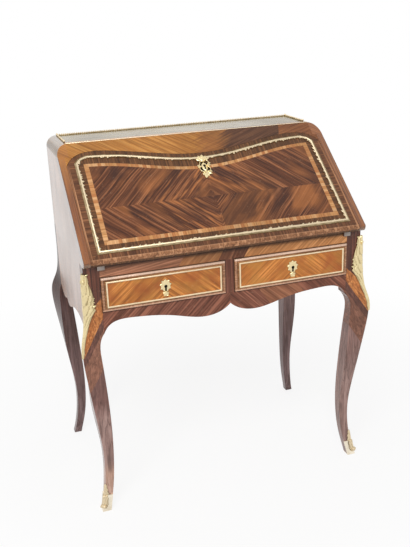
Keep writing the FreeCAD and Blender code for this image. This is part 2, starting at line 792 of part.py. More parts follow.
def key_plate(wide, tall):
    """Waisted key plate lying flat, with a keyhole in its middle."""
    half, high = wide / 2, tall / 2
    right = [Vector(0.55 * half, 0.62 * high, 0), Vector(half, 0.25 * high, 0),
             Vector(0.72 * half, -0.2 * high, 0), Vector(0.8 * half, -0.55 * high, 0)]
    left = [Vector(-spot.x, spot.y, 0) for spot in right]
    loop = [Vector(0, high, 0)] + right + [Vector(0, -high, 0)] + left[::-1]
    rim = Part.BSplineCurve()
    rim.interpolate(Points=loop, PeriodicFlag=True)
    plate = prism([rim.toShape()], Vector(0, 0, val("plate_thick")))
    radius, drop = val("keyhole_r"), val("keyhole_drop")
    eye = Part.makeCylinder(radius, tall, Vector(0, 0, -1))
    slot = Part.makeBox(radius, drop, tall)
    slot.translate(Vector(-radius / 2, -drop, -1))
    return plate.cut(eye).cut(slot)


# Frieze: rail, post, apron, floor and the two drawers


def apron():
    """Front apron with a cusp and two lobes between the leg arches."""
    half, spring, high = val("stile_x"), val("bracket_z"), val("apron_top")
    names = (("stile_x - haunch_in", "haunch_drop"), ("stile_x - arch_in", "arch_drop"),
             ("stile_x - mid_in", "mid_drop"), ("lobe_x", "lobe_drop"), ("dart_x", "dart_drop"))
    wave = [Vector(half, 0, spring)] + [Vector(val(spot), 0, high - val(drop)) for spot, drop in names]
    edges = [spline(wave + [Vector(0, 0, high - val("cusp_drop"))])]
    edges.append(edges[0].mirror(Vector(0, 0, 0), Vector(1, 0, 0)))
    edges += chain([Vector(-half, 0, spring), Vector(-half, 0, high), Vector(half, 0, high), wave[0]])
    plate = prism(edges, Vector(0, val("front_thick"), 0))
    plate.translate(Vector(0, val("frieze_y"), 0))
    return plate


def make_frieze():
    """Rail over the drawers, post between them, apron below, floor and divider behind."""
    outline = [("-stile_x", "rail_low"), ("stile_x", "rail_low"), ("stile_x", "slot_low"),
               ("slot_in", "slot_low"), ("slot_in", "rail_top"), ("-slot_in", "rail_top"),
               ("-slot_in", "slot_low"), ("-stile_x", "slot_low")]
    keep(padded("drawer_rail", "XZ_Plane", [outline], "frieze_y + rail_thick", "rail_thick"))
    keep(board("drawer_muntin", ("-muntin_half", "muntin_half"),
               ("frieze_y", "frieze_y + front_thick"), ("apron_top", "rail_low")))
    keep(feature("front_apron", apron()))
    floor_top = "drawer_low - ride_gap"
    keep(board("drawer_floor", ("-stile_x", "stile_x"), ("frieze_y + front_thick", "back_in"),
               (f"{floor_top} - floor_thick", floor_top)))
    keep(board("drawer_divider", ("-divider_wide / 2", "divider_wide / 2"),
               ("frieze_y + front_thick", "back_in"), (floor_top, "rail_low")))


def make_drawer(side):
    """Frieze drawer: veneered front with its trim, and the box behind it."""
    spread = on_side(side, "drawer_in", "drawer_out")
    tall = ("drawer_low", "drawer_high")
    name = f"{side}_drawer"
    front_back = "frieze_y + front_thick"
    blank = padded(f"{name}_blank", "XZ_Plane", [rectangle(spread, tall)], front_back, "front_thick + field_proud")
    lip = [rectangle(spread, tall), rectangle(inset(spread, "lip_wide"), inset(tall, "lip_wide"))]
    rebate = padded(f"{name}_rebate", "XZ_Plane", lip, "frieze_y", "field_proud + 1")
    keep(cut(f"{name}_front", blank, rebate))
    keep(padded(f"{name}_lip", "XZ_Plane", lip, "frieze_y", "lip_proud"))
    field_y = "frieze_y - field_proud"
    edge_x, edge_z = inset(spread, "string_x"), inset(tall, "string_z")
    string = [rectangle(edge_x, edge_z),
              rectangle(inset(edge_x, "string_wide"), inset(edge_z, "string_wide"))]
    keep(padded(f"{name}_string", "XZ_Plane", string, field_y, "string_proud"))
    end = "drawer_end"
    walls = []
    for wall, (start, stop) in (("inner", ("drawer_in", "drawer_in + drawer_wall")),
                                ("outer", ("drawer_out - drawer_wall", "drawer_out"))):
        walls.append(board(f"{name}_{wall}_wall", on_side(side, start, stop), (front_back, end),
                           ("drawer_low", "drawer_low + drawer_side_high")))
    between = on_side(side, "drawer_in + drawer_wall", "drawer_out - drawer_wall")
    walls.append(board(f"{name}_rear_wall", between, (f"{end} - drawer_wall", end),
                       ("drawer_low + drawer_bottom", "drawer_low + drawer_side_high")))
    keep(group(f"{name}_walls", walls))
    keep(board(f"{name}_bottom", between, (front_back, end),
               ("drawer_low", "drawer_low + drawer_bottom")))
    middle = (val("drawer_in + drawer_out") / 2) * (1 if side == "right" else -1)
    height = val("drawer_low + drawer_high") / 2
    plate = key_plate(val("plate_wide"), val("plate_tall"))
    upright = Placement(Vector(middle, val(field_y), height), Rotation(Vector(1, 0, 0), 90))
    keep(feature(f"{name}_escutcheon", plate, upright))
    centre = f"(drawer_in + drawer_out) / 2{' * -1' if side == 'left' else ''}"
    keep(board(f"{name}_lock", (f"{centre} - drawer_lock_wide / 2", f"{centre} + drawer_lock_wide / 2"),
               (front_back, f"{front_back} + drawer_lock_thick"),
               ("(drawer_low + drawer_high - drawer_lock_tall) / 2",
                "(drawer_low + drawer_high + drawer_lock_tall) / 2")))


def make_loper(side):
    """Pull-out support beside the drawers, its metal end and the channel that it runs in."""
    spread = on_side(side, "loper_x - loper_wide / 2", "loper_x + loper_wide / 2")
    tall = ("loper_low", "loper_top")
    end = "frieze_y - loper_proud"
    plate_back = f"{end} + loper_plate"
    keep(board(f"{side}_loper_bar", spread, (plate_back, "frieze_y + loper_long"), tall))
    keep(board(f"{side}_loper_plate", spread, (end, plate_back), tall))
    block = board(f"{side}_guide_block", on_side(side, "slot_in - guide_wall", "side_in"),
                  ("front_stile_y", "guide_end"), ("slot_low - guide_floor", "board_low"))
    slot = board(f"{side}_guide_slot", on_side(side, "slot_in", "slot_out"),
                 ("front_stile_y - 1", "guide_end + 1"), ("slot_low", "board_low + 1"))
    keep(cut(f"{side}_loper_guide", block, slot))


# Inside: writing board, nest of pigeonholes and the two inner drawers


def make_inner_drawer(side):
    """Small drawer of the nest, with a turned knob."""
    name = f"{side}_inner_drawer"
    spread = on_side(side, "inner_in", "inner_out")
    tall = ("inner_low", "inner_high")
    front_back = "nest_front + inner_front"
    end = "back_in - inner_back_gap"
    keep(board(f"{name}_front", spread, ("nest_front", front_back), tall))
    between = inset(spread, "inner_wall")
    high = "inner_high - inner_wall"
    low_x = (spread[0], f"{spread[0]} + inner_wall")
    high_x = (f"{spread[1]} - inner_wall", spread[1])
    box = [board(f"{name}_low_wall", low_x, (front_back, end), ("inner_low", high)),
           board(f"{name}_high_wall", high_x, (front_back, end), ("inner_low", high)),
           board(f"{name}_rear_wall", between, (f"{end} - inner_wall", end),
                 ("inner_low + inner_wall", high)),
           board(f"{name}_bottom", between, (front_back, end), ("inner_low", "inner_low + inner_wall"))]
    keep(group(f"{name}_box", box))
    knob = doc.addObject("PartDesign::Body", f"{name}_knob")
    profile = [("-knob_long", "0"), ("-knob_long", "0.6 * knob_r"), ("-0.8 * knob_long", "knob_r"),
               ("-0.5 * knob_long", "0.9 * knob_r"), ("-0.35 * knob_long", "knob_neck"),
               ("-0.1 * knob_long", "knob_neck"), ("0", "1.4 * knob_neck"), ("0", "0")]
    sketch = profile_sketch(knob, "YZ_Plane", [profile])
    turned = knob.newObject("PartDesign::Revolution", f"{name}_turning")
    turned.Profile = sketch
    turned.ReferenceAxis = (sketch, ["H_Axis"])
    turned.Angle = 360
    middle = on_side(side, "(inner_in + inner_out) / 2", "(inner_in + inner_out) / 2")[0]
    place(knob, x=middle, y="nest_front", z="(inner_low + inner_high) / 2")
    keep(knob)


def make_inside():
    """Fixed writing board, nest shelf, partitions and inner drawers."""
    keep(board("writing_board", ("-side_in", "side_in"), ("board_front", "back_in"),
               ("board_low", "write_z")))
    shelf = ("nest_shelf_z", "nest_shelf_z + nest_wall")
    deep = ("nest_front", "back_in")
    keep(board("nest_shelf", ("-side_in", "side_in"), deep, shelf))
    walls = []
    for side in SIDES:
        for level, spot, tall in (("lower", "inner_x", ("write_z", shelf[0])),
                                  ("upper", "hole_x", (shelf[1], "top_low"))):
            spread = on_side(side, f"{spot} - nest_wall / 2", f"{spot} + nest_wall / 2")
            walls.append(board(f"{side}_{level}_partition", spread, deep, tall))
    keep(group("nest_partitions", walls))
    for side in SIDES:
        make_inner_drawer(side)


def check_and_write():
    """Stops at any failed object or bad solid, then writes one file for each piece."""
    doc.recompute()
    for item in doc.Objects:
        if {"Invalid", "Error"} & set(item.State):
            raise RuntimeError(f"{item.Label} failed: {item.State}")
    for piece in nodes:
        shape = piece.Shape
        if shape.isNull() or not shape.isValid() or not shape.Solids:
            raise RuntimeError(f"{piece.Label} has no valid solid")
    os.makedirs("parts", exist_ok=True)
    for piece in nodes:
        piece.Shape.exportStep(os.path.join("parts", piece.Label + ".step"))


make_legs()
make_sides()
make_top()
make_fall()
make_frieze()
for desk_side in SIDES:
    make_drawer(desk_side)
    make_loper(desk_side)
make_inside()
check_and_write()
print(len(nodes), "pieces written")
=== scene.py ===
import logging
import math
import random
from contextlib import contextmanager
from dataclasses import dataclass
from enum import Enum
from typing import Callable, Iterator, Sequence

import bmesh
import bpy
import numpy as np
from mathutils import Matrix, Vector
from mathutils.bvhtree import BVHTree


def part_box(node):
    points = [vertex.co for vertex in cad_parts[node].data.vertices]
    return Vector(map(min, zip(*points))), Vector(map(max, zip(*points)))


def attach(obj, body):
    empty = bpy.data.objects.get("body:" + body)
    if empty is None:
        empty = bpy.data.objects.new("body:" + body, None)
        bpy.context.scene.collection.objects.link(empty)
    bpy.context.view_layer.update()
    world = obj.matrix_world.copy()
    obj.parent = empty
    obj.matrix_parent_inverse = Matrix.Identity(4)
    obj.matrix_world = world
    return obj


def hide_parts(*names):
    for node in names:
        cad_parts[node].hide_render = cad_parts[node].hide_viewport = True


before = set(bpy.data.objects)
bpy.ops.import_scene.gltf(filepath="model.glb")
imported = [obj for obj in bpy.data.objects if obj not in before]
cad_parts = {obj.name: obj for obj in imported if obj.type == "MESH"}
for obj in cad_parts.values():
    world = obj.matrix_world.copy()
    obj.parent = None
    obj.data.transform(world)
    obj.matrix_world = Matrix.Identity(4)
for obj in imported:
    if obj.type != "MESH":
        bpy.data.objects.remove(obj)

# Looks of a slant-front desk: veneers, gilt mounts, locks and leather, in metres.

log = logging.getLogger("desk")
logging.basicConfig(level=logging.INFO, format="%(message)s")

Flat = tuple[float, float]
Triple = tuple[float, float, float]
Piece = bpy.types.Object
Disc = tuple[Flat, Flat, int, float, float]
Sprig = tuple[Flat, Flat, float]
Rule = Callable[[np.ndarray], np.ndarray]

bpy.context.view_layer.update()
ORIGIN: Triple = (0.0, 0.0, 0.0)
UPRIGHT: Triple = (0.0, 90.0, 0.0)
SOOT: Triple = (0.02, 0.009, 0.005)
DRAWER_MIDDLE: Flat = (0.1715, 0.606)
LIP_HALF: Flat = (0.1585, 0.043)
# Depth that still counts as a face's skin, and the soft border of a crisp mask.
SKIN = 0.0012
CRISP = 0.0002


class Side(Enum):
    """The desk's two mirrored sides."""

    LEFT = -1
    RIGHT = 1

    @property
    def word(self) -> str:
        """Lower-case name that the desk's nodes and bodies use."""
        return self.name.lower()


class Slot(Enum):
    """Material slots of the record, named for new pieces."""

    LIP = "lip_veneer"
    GILT = "gilt_bronze"
    STEEL = "steel"
    LEATHER = "leather"


# Modelling helpers


def activate(piece: Piece) -> None:
    """Leaves one piece alone selected and active.

    Args:
        piece: The piece.
    """
    bpy.ops.object.select_all(action="DESELECT")
    piece.select_set(True)
    bpy.context.view_layer.objects.active = piece


@contextmanager
def editing(piece: Piece, everything: bool = False) -> Iterator[bmesh.types.BMesh]:
    """Edit mode on one piece.

    Args:
        piece: The mesh object to work on.
        everything: Whether all of it is selected at first, or nothing.

    Returns:
        The edit mesh, for choosing faces and edges.
    """
    activate(piece)
    bpy.ops.object.mode_set(mode="EDIT")
    bpy.ops.mesh.select_all(action="SELECT" if everything else "DESELECT")
    yield bmesh.from_edit_mesh(piece.data)
    bpy.ops.object.mode_set(mode="OBJECT")


def choose(piece: Piece, items: Sequence, test: Callable[[object], bool]) -> None:
    """Selects what passes a test.

    Args:
        piece: The mesh object in edit mode.
        items: Faces or edges of its edit mesh.
        test: Says which of them are selected.
    """
    for item in items:
        if test(item):
            item.select_set(True)
    bmesh.update_edit_mesh(piece.data)


def linked(name: str, data: bpy.types.ID) -> Piece:
    """New object in the scene.

    Args:
        name: Name of the object.
        data: Its curve, mesh, lamp or camera.

    Returns:
        The object.
    """
    piece = bpy.data.objects.new(name, data)
    bpy.context.scene.collection.objects.link(piece)
    return piece


def added(name: str) -> Piece:
    """The primitive that was just added, named.

    Args:
        name: Its name.

    Returns:
        The piece.
    """
    piece = bpy.context.active_object
    piece.name = name
    piece.data.name = name
    return piece


def settle(piece: Piece) -> Piece:
    """Puts a piece's place, turn and scale into its mesh.

    Args:
        piece: The piece.

    Returns:
        The same piece.
    """
    activate(piece)
    bpy.ops.object.transform_apply(location=True, rotation=True, scale=True)
    return piece


def moved(piece: Piece, matrix: Matrix) -> Piece:
    """Carries a piece by a matrix and puts the place into its mesh."""
    piece.matrix_world = matrix @ piece.matrix_world
    return settle(piece)


def modified(piece: Piece, kind: str, **settings: object) -> Piece:
    """Adds a modifier and applies it.

    Args:
        piece: The mesh object to change.
        kind: Blender's name of the modifier type.
        settings: Values of the modifier.

    Returns:
        The same piece.
    """
    modifier = piece.modifiers.new(kind.lower(), kind)
    for name, value in settings.items():
        setattr(modifier, name, value)
    activate(piece)
    bpy.ops.object.modifier_apply(modifier=modifier.name)
    return piece


def cut(piece: Piece, operation: str, tool: Piece) -> Piece:
    """Joins or cuts a piece with another, which is used up.

    Args:
        piece: The piece that stays.
        operation: Blender's name of the operation.
        tool: The other piece.

    Returns:
        The first piece.
    """
    modified(piece, "BOOLEAN", operation=operation, object=tool, solver="EXACT")
    bpy.data.objects.remove(tool)
    return piece


def copied(piece: Piece, matrix: Matrix) -> Piece:
    """Copy with its own mesh, carried by a matrix.

    Args:
        piece: The piece.
        matrix: Carries the copy.

    Returns:
        The copy.
    """
    twin = linked(piece.name, piece.data.copy())
    twin.matrix_world = matrix @ piece.matrix_world
    return twin


def joined(name: str, pieces: Sequence[Piece]) -> Piece:
    """Several meshes as one piece.

    Args:
        name: Name of the whole.
        pieces: Mesh objects, the first of which becomes the whole.

    Returns:
        The whole, with its place in its mesh.
    """
    activate(pieces[0])
    for piece in pieces[1:]:
        piece.select_set(True)
    bpy.ops.object.join()
    whole = settle(pieces[0])
    whole.name = name
    whole.data.name = name
    return whole


def outward(piece: Piece) -> Piece:
    """Merges doubles and turns all faces outwards.

    Args:
        piece: The mesh object.

    Returns:
        The same piece.
    """
    with editing(piece, everything=True):
        bpy.ops.mesh.remove_doubles(threshold=1e-6)
        bpy.ops.mesh.normals_make_consistent(inside=False)
    return piece


def softened(piece: Piece, degrees: float = 38.0) -> Piece:
    """Smooth shading, with edges sharper than an angle kept crisp.

    Args:
        piece: The mesh object.
        degrees: The angle.

    Returns:
        The same piece.
    """
    activate(piece)
    bpy.ops.object.shade_smooth_by_angle(angle=math.radians(degrees))
    return piece


def points_of(piece: Piece) -> np.ndarray:
    """Places of a mesh's points, one row each.

    Args:
        piece: The mesh object.

    Returns:
        The places.
    """
    spots = np.empty(len(piece.data.vertices) * 3)
    piece.data.vertices.foreach_get("co", spots)
    return spots.reshape(-1, 3)


def reshape(piece: Piece, rule: Rule) -> Piece:
    """Moves every point of a mesh by a rule from old places to new.

    Args:
        piece: The mesh object.
        rule: Takes the old places and gives the new ones.

    Returns:
        The same piece.
    """
    piece.data.vertices.foreach_set("co", rule(points_of(piece)).ravel())
    piece.data.update()
    return piece


def shade_relief(piece: Piece, rule: Rule) -> Piece:
    """Stores how high each point stands in the relief.

    Args:
        piece: The mesh object.
        rule: Takes the points' places and gives 0 in the hollows to 1 on the crests.

    Returns:
        The same piece.
    """
    lift = np.clip(rule(points_of(piece)), 0, 1).astype(np.float32)
    stored = piece.data.attributes.get("relief") or piece.data.attributes.new("relief", "FLOAT", "POINT")
    stored.data.foreach_set("value", lift)
    return piece


def flowing(points: Sequence[Flat], steps: int = 8) -> list[Flat]:
    """Smooth line through flat points.

    Args:
        points: Points that the line passes through.
        steps: Pieces between one point and the next.

    Returns:
        Close points along the line.
    """
    spots = [np.array(p, float) for p in points]
    spots = [2 * spots[0] - spots[1]] + spots + [2 * spots[-1] - spots[-2]]
    line = []
    for before, start, end, after in zip(spots, spots[1:], spots[2:], spots[3:]):
        for step in range(steps):
            t = step / steps
            bend = (2 * start + (end - before) * t + (2 * before - 5 * start + 4 * end - after) * t ** 2
                    + (3 * start - before - 3 * end + after) * t ** 3)
            line.append(tuple(bend / 2))
    return line + [tuple(spots[-2])]


def spaced(points: Sequence[Flat], gap: float) -> list[tuple[Flat, float]]:
    """Even places along a line of flat points.

    Args:
        points: Close points along the line.
        gap: Distance wanted between places.

    Returns:
        Each place and the direction of the line there, in radians.
    """
    line = np.array(points, float)
    reach = np.concatenate([[0], np.cumsum(np.hypot(*np.diff(line, axis=0).T))])
    count = max(int(reach[-1] / gap), 1)
    stops = (np.arange(count) + 0.5) * reach[-1] / count
    spots = np.array([np.interp(stops, reach, line[:, axis]) for axis in (0, 1)]).T
    ahead = np.array([np.interp(stops + gap / 4, reach, line[:, axis]) for axis in (0, 1)]).T
    turns = np.arctan2(*(ahead - spots).T[::-1])
    return [(tuple(spot), float(turn)) for spot, turn in zip(spots, turns)]


def flat_curve(name: str, points: Sequence[Flat], closed: bool) -> Piece:
    """Straight-edged curve in its own flat plane.

    Args:
        name: Name of the curve.
        points: Its corners.
        closed: Whether it meets itself.

    Returns:
        The curve object.
    """
    data = bpy.data.curves.new(name, "CURVE")
    data.dimensions = "2D"
    data.fill_mode = "NONE"
    spline = data.splines.new("POLY")
    spline.points.add(len(points) - 1)
    for spot, place in zip(spline.points, points):
        spot.co = (*place, 0, 1)
    spline.use_cyclic_u = closed
    return linked(name, data)


def meshed(track: Piece) -> Piece:
    """Curve made into a closed mesh.

    Args:
        track: The curve object.

    Returns:
        The mesh object.
    """
    activate(track)
    bpy.ops.object.convert(target="MESH")
    return outward(added(track.name))


def swept(name: str, path: Sequence[Flat], section: Sequence[Flat], closed: bool) -> Piece:
    """Moulding of one section along a flat path, mitred at its corners.

    Args:
        name: Name of the piece.
        path: Points of the path, in the flat plane.
        section: Outline across the path: sideways, then up.
        closed: Whether the path meets itself.

    Returns:
        The moulding as a closed mesh.
    """
    outline = flat_curve(name + "_section", section, True)
    track = flat_curve(name, path, closed)
    track.data.bevel_mode = "OBJECT"
    track.data.bevel_object = outline
    track.data.use_fill_caps = not closed
    piece = meshed(track)
    bpy.data.objects.remove(outline)
    return piece


def ribbon(name: str, path: Sequence[Flat], half: float, thick: float) -> Piece:
    """Band on edge along a flat path, with rounded edges.

    Args:
        name: Name of the piece.
        path: Points of the path, in the flat plane.
        half: Half its breadth.
        thick: Half its thickness, and the radius of its edges.

    Returns:
        The band as a closed mesh.
    """
    track = flat_curve(name, path, False)
    track.data.extrude = half
    track.data.bevel_depth = thick
    track.data.bevel_resolution = 2
    track.data.use_fill_caps = True
    return meshed(track)


def volute(start: float, end: float, turns: float, steps: int, phase: float) -> list[Flat]:
    """Flat spiral.

    Args:
        start: Outer radius.
        end: Inner radius.
        turns: Turns from one to the other; below zero it winds clockwise.
        steps: Pieces that it is divided into.
        phase: Direction of its first point, in radians.

    Returns:
        Points from the outside in.
    """
    line = []
    for step in range(steps + 1):
        share = step / steps
        reach = start * (end / start) ** share
        angle = phase + 2 * math.pi * turns * share
        line.append((reach * math.cos(angle), reach * math.sin(angle)))
    return line


def leaf(name: str, length: float, width: float, height: float) -> Piece:
    """Small arched leaf, from its stem at the origin to its tip on +X.

    Args:
        name: Name of the piece.
        length: From stem to tip.
        width: At its broadest.
        height: Of its arch.

    Returns:
        The leaf as a closed mesh.
    """
    bpy.ops.mesh.primitive_grid_add(x_subdivisions=6, y_subdivisions=4, size=1)

    def curl(spots: np.ndarray) -> np.ndarray:
        """Arches the grid, hollows its vein and draws in its ends.

        Args:
            spots: Points of the grid.

        Returns:
            Their new places.
        """
        along, across = spots[:, 0] + 0.5, spots[:, 1] * 2
        half = 0.5 * width * np.sin(np.pi * np.clip(along, 0.04, 0.985) ** 0.75) ** 0.7
        arch = (1 - 0.75 * across ** 2) * (0.45 + 0.55 * np.sin(np.pi * (0.15 + 0.8 * along)))
        vein = 0.22 * np.exp(-(across / 0.25) ** 2)
        return np.stack([along * length, across * half, height * (arch - vein)], axis=1)

    piece = reshape(added(name), curl)
    return modified(piece, "SOLIDIFY", thickness=0.5 * height, offset=-1.0)


def frame_moulding(name: str, size: Flat, width: float, proud: float, rounds: int) -> Piece:
    """Flat rectangular frame with a rounded section, lying in its own plane.

    Args:
        name: Name of the piece.
        size: Outer width and height.
        width: Breadth of the moulding.
        proud: How far it stands out.
        rounds: Steps in its rounding.

    Returns:
        The frame, centred on the origin.
    """
    def rounded(edge: bmesh.types.BMEdge) -> bool:
        """Whether an edge runs along the frame on its upper face.

        Args:
            edge: Edge of the frame.

        Returns:
            True where it does.
        """
        start, end = (vertex.co for vertex in edge.verts)
        level = min(start.z, end.z) > proud / 2
        return level and min(abs(start.x - end.x), abs(start.y - end.y)) < 1e-6

    bpy.ops.mesh.primitive_plane_add(size=1)
    piece = added(name)
    piece.scale = (*size, 1)
    settle(piece)
    with editing(piece, everything=True):
        bpy.ops.mesh.inset(thickness=width, depth=0)
        bpy.ops.mesh.delete(type="FACE")
    modified(piece, "SOLIDIFY", thickness=proud, offset=1.0)
    with editing(piece) as mesh:
        choose(piece, mesh.edges, rounded)
        bpy.ops.mesh.bevel(offset=0.46 * width, segments=rounds, profile=0.5, affect="EDGES",
                           clamp_overlap=True)
    return outward(piece)


def block(name: str, low: Sequence[float], high: Sequence[float], bevel: float) -> Piece:
    """Box with softened edges.

    Args:
        name: Name of the piece.
        low: Its lowest corner.
        high: Its highest corner.
        bevel: Breadth of the softened edges.

    Returns:
        The box.
    """
    middle = [(a + b) / 2 for a, b in zip(low, high)]
    bpy.ops.mesh.primitive_cube_add(size=1, location=middle)
    piece = added(name)
    piece.scale = [b - a for a, b in zip(low, high)]
    settle(piece)
    with editing(piece, everything=True):
        bpy.ops.mesh.bevel(offset=bevel, segments=2, affect="EDGES")
    return piece


def screw(name: str, spot: Sequence[float], radius: float, turn: Matrix) -> Piece:
    """Slotted screw head on a face.

    Args:
        name: Name of the piece.
        spot: Its middle.
        radius: Of the head.
        turn: Carries +Z to the face's outward direction.

    Returns:
        The head.
    """
    bpy.ops.mesh.primitive_cylinder_add(vertices=20, radius=radius, depth=0.35 * radius)
    head = added(name)
    with editing(head) as mesh:
        choose(head, mesh.faces, lambda face: face.normal.z > 0.9)
        bpy.ops.mesh.inset(thickness=0.2 * radius, depth=0.12 * radius)
    bpy.ops.mesh.primitive_cube_add(size=1, location=(0, 0, 0.3 * radius))
    saw = added(name + "_slot")
    saw.scale = (3 * radius, 0.28 * radius, 0.3 * radius)
    cut(head, "DIFFERENCE", settle(saw))
    return moved(head, Matrix.Translation(spot) @ turn)


# Node helpers


@dataclass(frozen=True, eq=False)
class Wire:
    """What one node hands to others; sums with it add math nodes."""

    graph: "Graph"
    socket: bpy.types.NodeSocket

    def __add__(self, other: "Value") -> "Wire":
        """Sum of two values."""
        return self.graph.math("ADD", self, other)

    def __sub__(self, other: "Value") -> "Wire":
        """Difference of two values."""
        return self.graph.math("SUBTRACT", self, other)

    def __rsub__(self, other: float) -> "Wire":
        """Difference of a number and this value."""
        return self.graph.math("SUBTRACT", other, self)

    def __mul__(self, other: "Value") -> "Wire":
        """Product of two values."""
        return self.graph.math("MULTIPLY", self, other)

    def __abs__(self) -> "Wire":
        """Value without its sign."""
        return self.graph.math("ABSOLUTE", self)


Value = Wire | float
Painted = tuple[Wire, Wire]


class Graph:
    """Nodes of one material or group, with short calls to add and join them."""

    def __init__(self, tree: bpy.types.NodeTree) -> None:
        """Keeps the tree that nodes go into."""
        self.tree = tree

    def put(self, socket: bpy.types.NodeSocket, value: object) -> None:
        """Links a socket, or sets its value.

        Args:
            socket: The socket.
            value: A wire, number, colour or vector.
        """
        if isinstance(value, Wire):
            self.tree.links.new(value.socket, socket)
        elif socket.type == "RGBA" and len(value) == 3:
            socket.default_value = (*value, 1)
        else:
            socket.default_value = value

    def add(self, kind: str, inputs: dict | None = None, **settings: object) -> bpy.types.Node:
        """Adds a node.

        Args:
            kind: Blender's node type.
            inputs: Sockets by name or number, with a value or a wire for each.
            settings: Other properties of the node.

        Returns:
            The new node.
        """
        node = self.tree.nodes.new(kind)
        for name, value in settings.items():
            setattr(node, name, value)
        for key, value in (inputs or {}).items():
            self.put(node.inputs[key], value)
        return node

    def wire(self, kind: str, output: str | int, inputs: dict | None = None, **settings: object) -> Wire:
        """Adds a node and gives one of its outputs."""
        return Wire(self, self.add(kind, inputs, **settings).outputs[output])

    def math(self, operation: str, *values: Value) -> Wire:
        """One sum on one or two values."""
        return self.wire("ShaderNodeMath", 0, dict(enumerate(values)), operation=operation)

    def noise(self, vector: Wire, scale: float, detail: float = 2.0, warp: float = 0.0) -> Wire:
        """Soft random value from 0 to 1."""
        inputs = {"Vector": vector, "Scale": scale, "Detail": detail, "Distortion": warp}
        return self.wire("ShaderNodeTexNoise", "Fac", inputs)

    def scaled(self, vector: Wire, factor: Wire | Triple) -> Wire:
        """Vector with each part multiplied."""
        return self.wire("ShaderNodeVectorMath", 0, {0: vector, 1: factor}, operation="MULTIPLY")

    def streaks(self, vector: Wire, along: float, across: Value, detail: float, warp: float = 0.0) -> Wire:
        """Soft random value with its own scale along X and across it."""
        return self.noise(self.scaled(vector, self.join(along, across, across)), 1.0, detail, warp)

    def split(self, vector: Wire) -> tuple[Wire, Wire, Wire]:
        """Three parts of a vector."""
        return tuple(Wire(self, part) for part in self.add("ShaderNodeSeparateXYZ", {0: vector}).outputs)

    def join(self, x: Value, y: Value, z: Value) -> Wire:
        """Vector from three parts."""
        return self.wire("ShaderNodeCombineXYZ", 0, {0: x, 1: y, 2: z})

    def mix(self, share: Value, first: Wire | Triple, second: Wire | Triple) -> Wire:
        """Colour or vector between two others."""
        return self.wire("ShaderNodeMix", 2, {0: share, 6: first, 7: second}, data_type="RGBA")

    def above(self, value: Value, edge: Value, soft: float = 0.0004) -> Wire:
        """Mask that is 1 where a value is over an edge, with a soft border."""
        inputs = {"Value": value - edge, "From Min": -soft, "From Max": soft}
        return self.wire("ShaderNodeMapRange", 0, inputs, interpolation_type="SMOOTHSTEP")

    def between(self, low: Value, value: Wire, high: Value, soft: float = 0.0004) -> Wire:
        """Mask that is 1 where a value lies between two edges."""
        return self.above(value, low, soft) * self.above(high, value, soft)

    def spread(self, value: Wire, low: float, high: float, to: Flat = (0.0, 1.0)) -> Wire:
        """Value carried from one range to another, held at its ends."""
        inputs = {"Value": value, "From Min": low, "From Max": high, "To Min": to[0], "To Max": to[1]}
        return self.wire("ShaderNodeMapRange", 0, inputs)

    def frame(self, vector: Wire, place: Triple = ORIGIN, turn: Triple = ORIGIN) -> Wire:
        """Coordinates in a frame that is placed and turned on the desk, in metres and degrees."""
        inputs = {"Vector": vector, "Location": place, "Rotation": [math.radians(t) for t in turn]}
        return self.wire("ShaderNodeMapping", 0, inputs, vector_type="TEXTURE")

    def turned(self, vector: Wire, degrees: float) -> Wire:
        """Coordinates turned in their own flat plane."""
        return self.frame(vector, turn=(0.0, 0.0, degrees))

    def slanted(self, a: Wire, b: Wire, degrees: float) -> tuple[Wire, Wire]:
        """Places along and across a grain that slants between two directions."""
        sine, cosine = math.sin(math.radians(degrees)), math.cos(math.radians(degrees))
        return b * sine - a * cosine, a * sine + b * cosine

    def bump(self, height: Wire, strength: float, distance: float = 0.0003) -> Wire:
        """Normal of a fine relief."""
        return self.wire("ShaderNodeBump", "Normal",
                         {"Strength": strength, "Distance": distance, "Height": height})

    def group(self, tree: bpy.types.NodeTree, inputs: dict) -> dict[str, Wire]:
        """Places a shared effect with its own values, and gives what it puts out."""
        node = self.add("ShaderNodeGroup", inputs, node_tree=tree)
        return {output.name: Wire(self, output) for output in node.outputs}


class Effect:
    """Shader node group that several finishes share, built once."""

    name: str
    inputs: dict[str, str]
    outputs: dict[str, str]

    def build(self, g: Graph, given: dict[str, Wire]) -> dict[str, Wire]:
        """Adds the nodes.

        Args:
            g: Graph of the group.
            given: Wire of each input.

        Returns:
            Wire for each output.
        """
        raise NotImplementedError

    def tree(self) -> bpy.types.NodeTree:
        """The group, with its sockets and nodes.

        Returns:
            The group.
        """
        found = bpy.data.node_groups.get(self.name)
        if found:
            return found
        tree = bpy.data.node_groups.new(self.name, "ShaderNodeTree")
        for way, sockets in (("INPUT", self.inputs), ("OUTPUT", self.outputs)):
            for key, kind in sockets.items():
                tree.interface.new_socket(name=key, in_out=way, socket_type=f"NodeSocket{kind}")
        g = Graph(tree)
        entry = g.add("NodeGroupInput")
        results = self.build(g, {key: Wire(g, entry.outputs[key]) for key in self.inputs})
        g.add("NodeGroupOutput", {key: results[key] for key in self.outputs})
        return tree


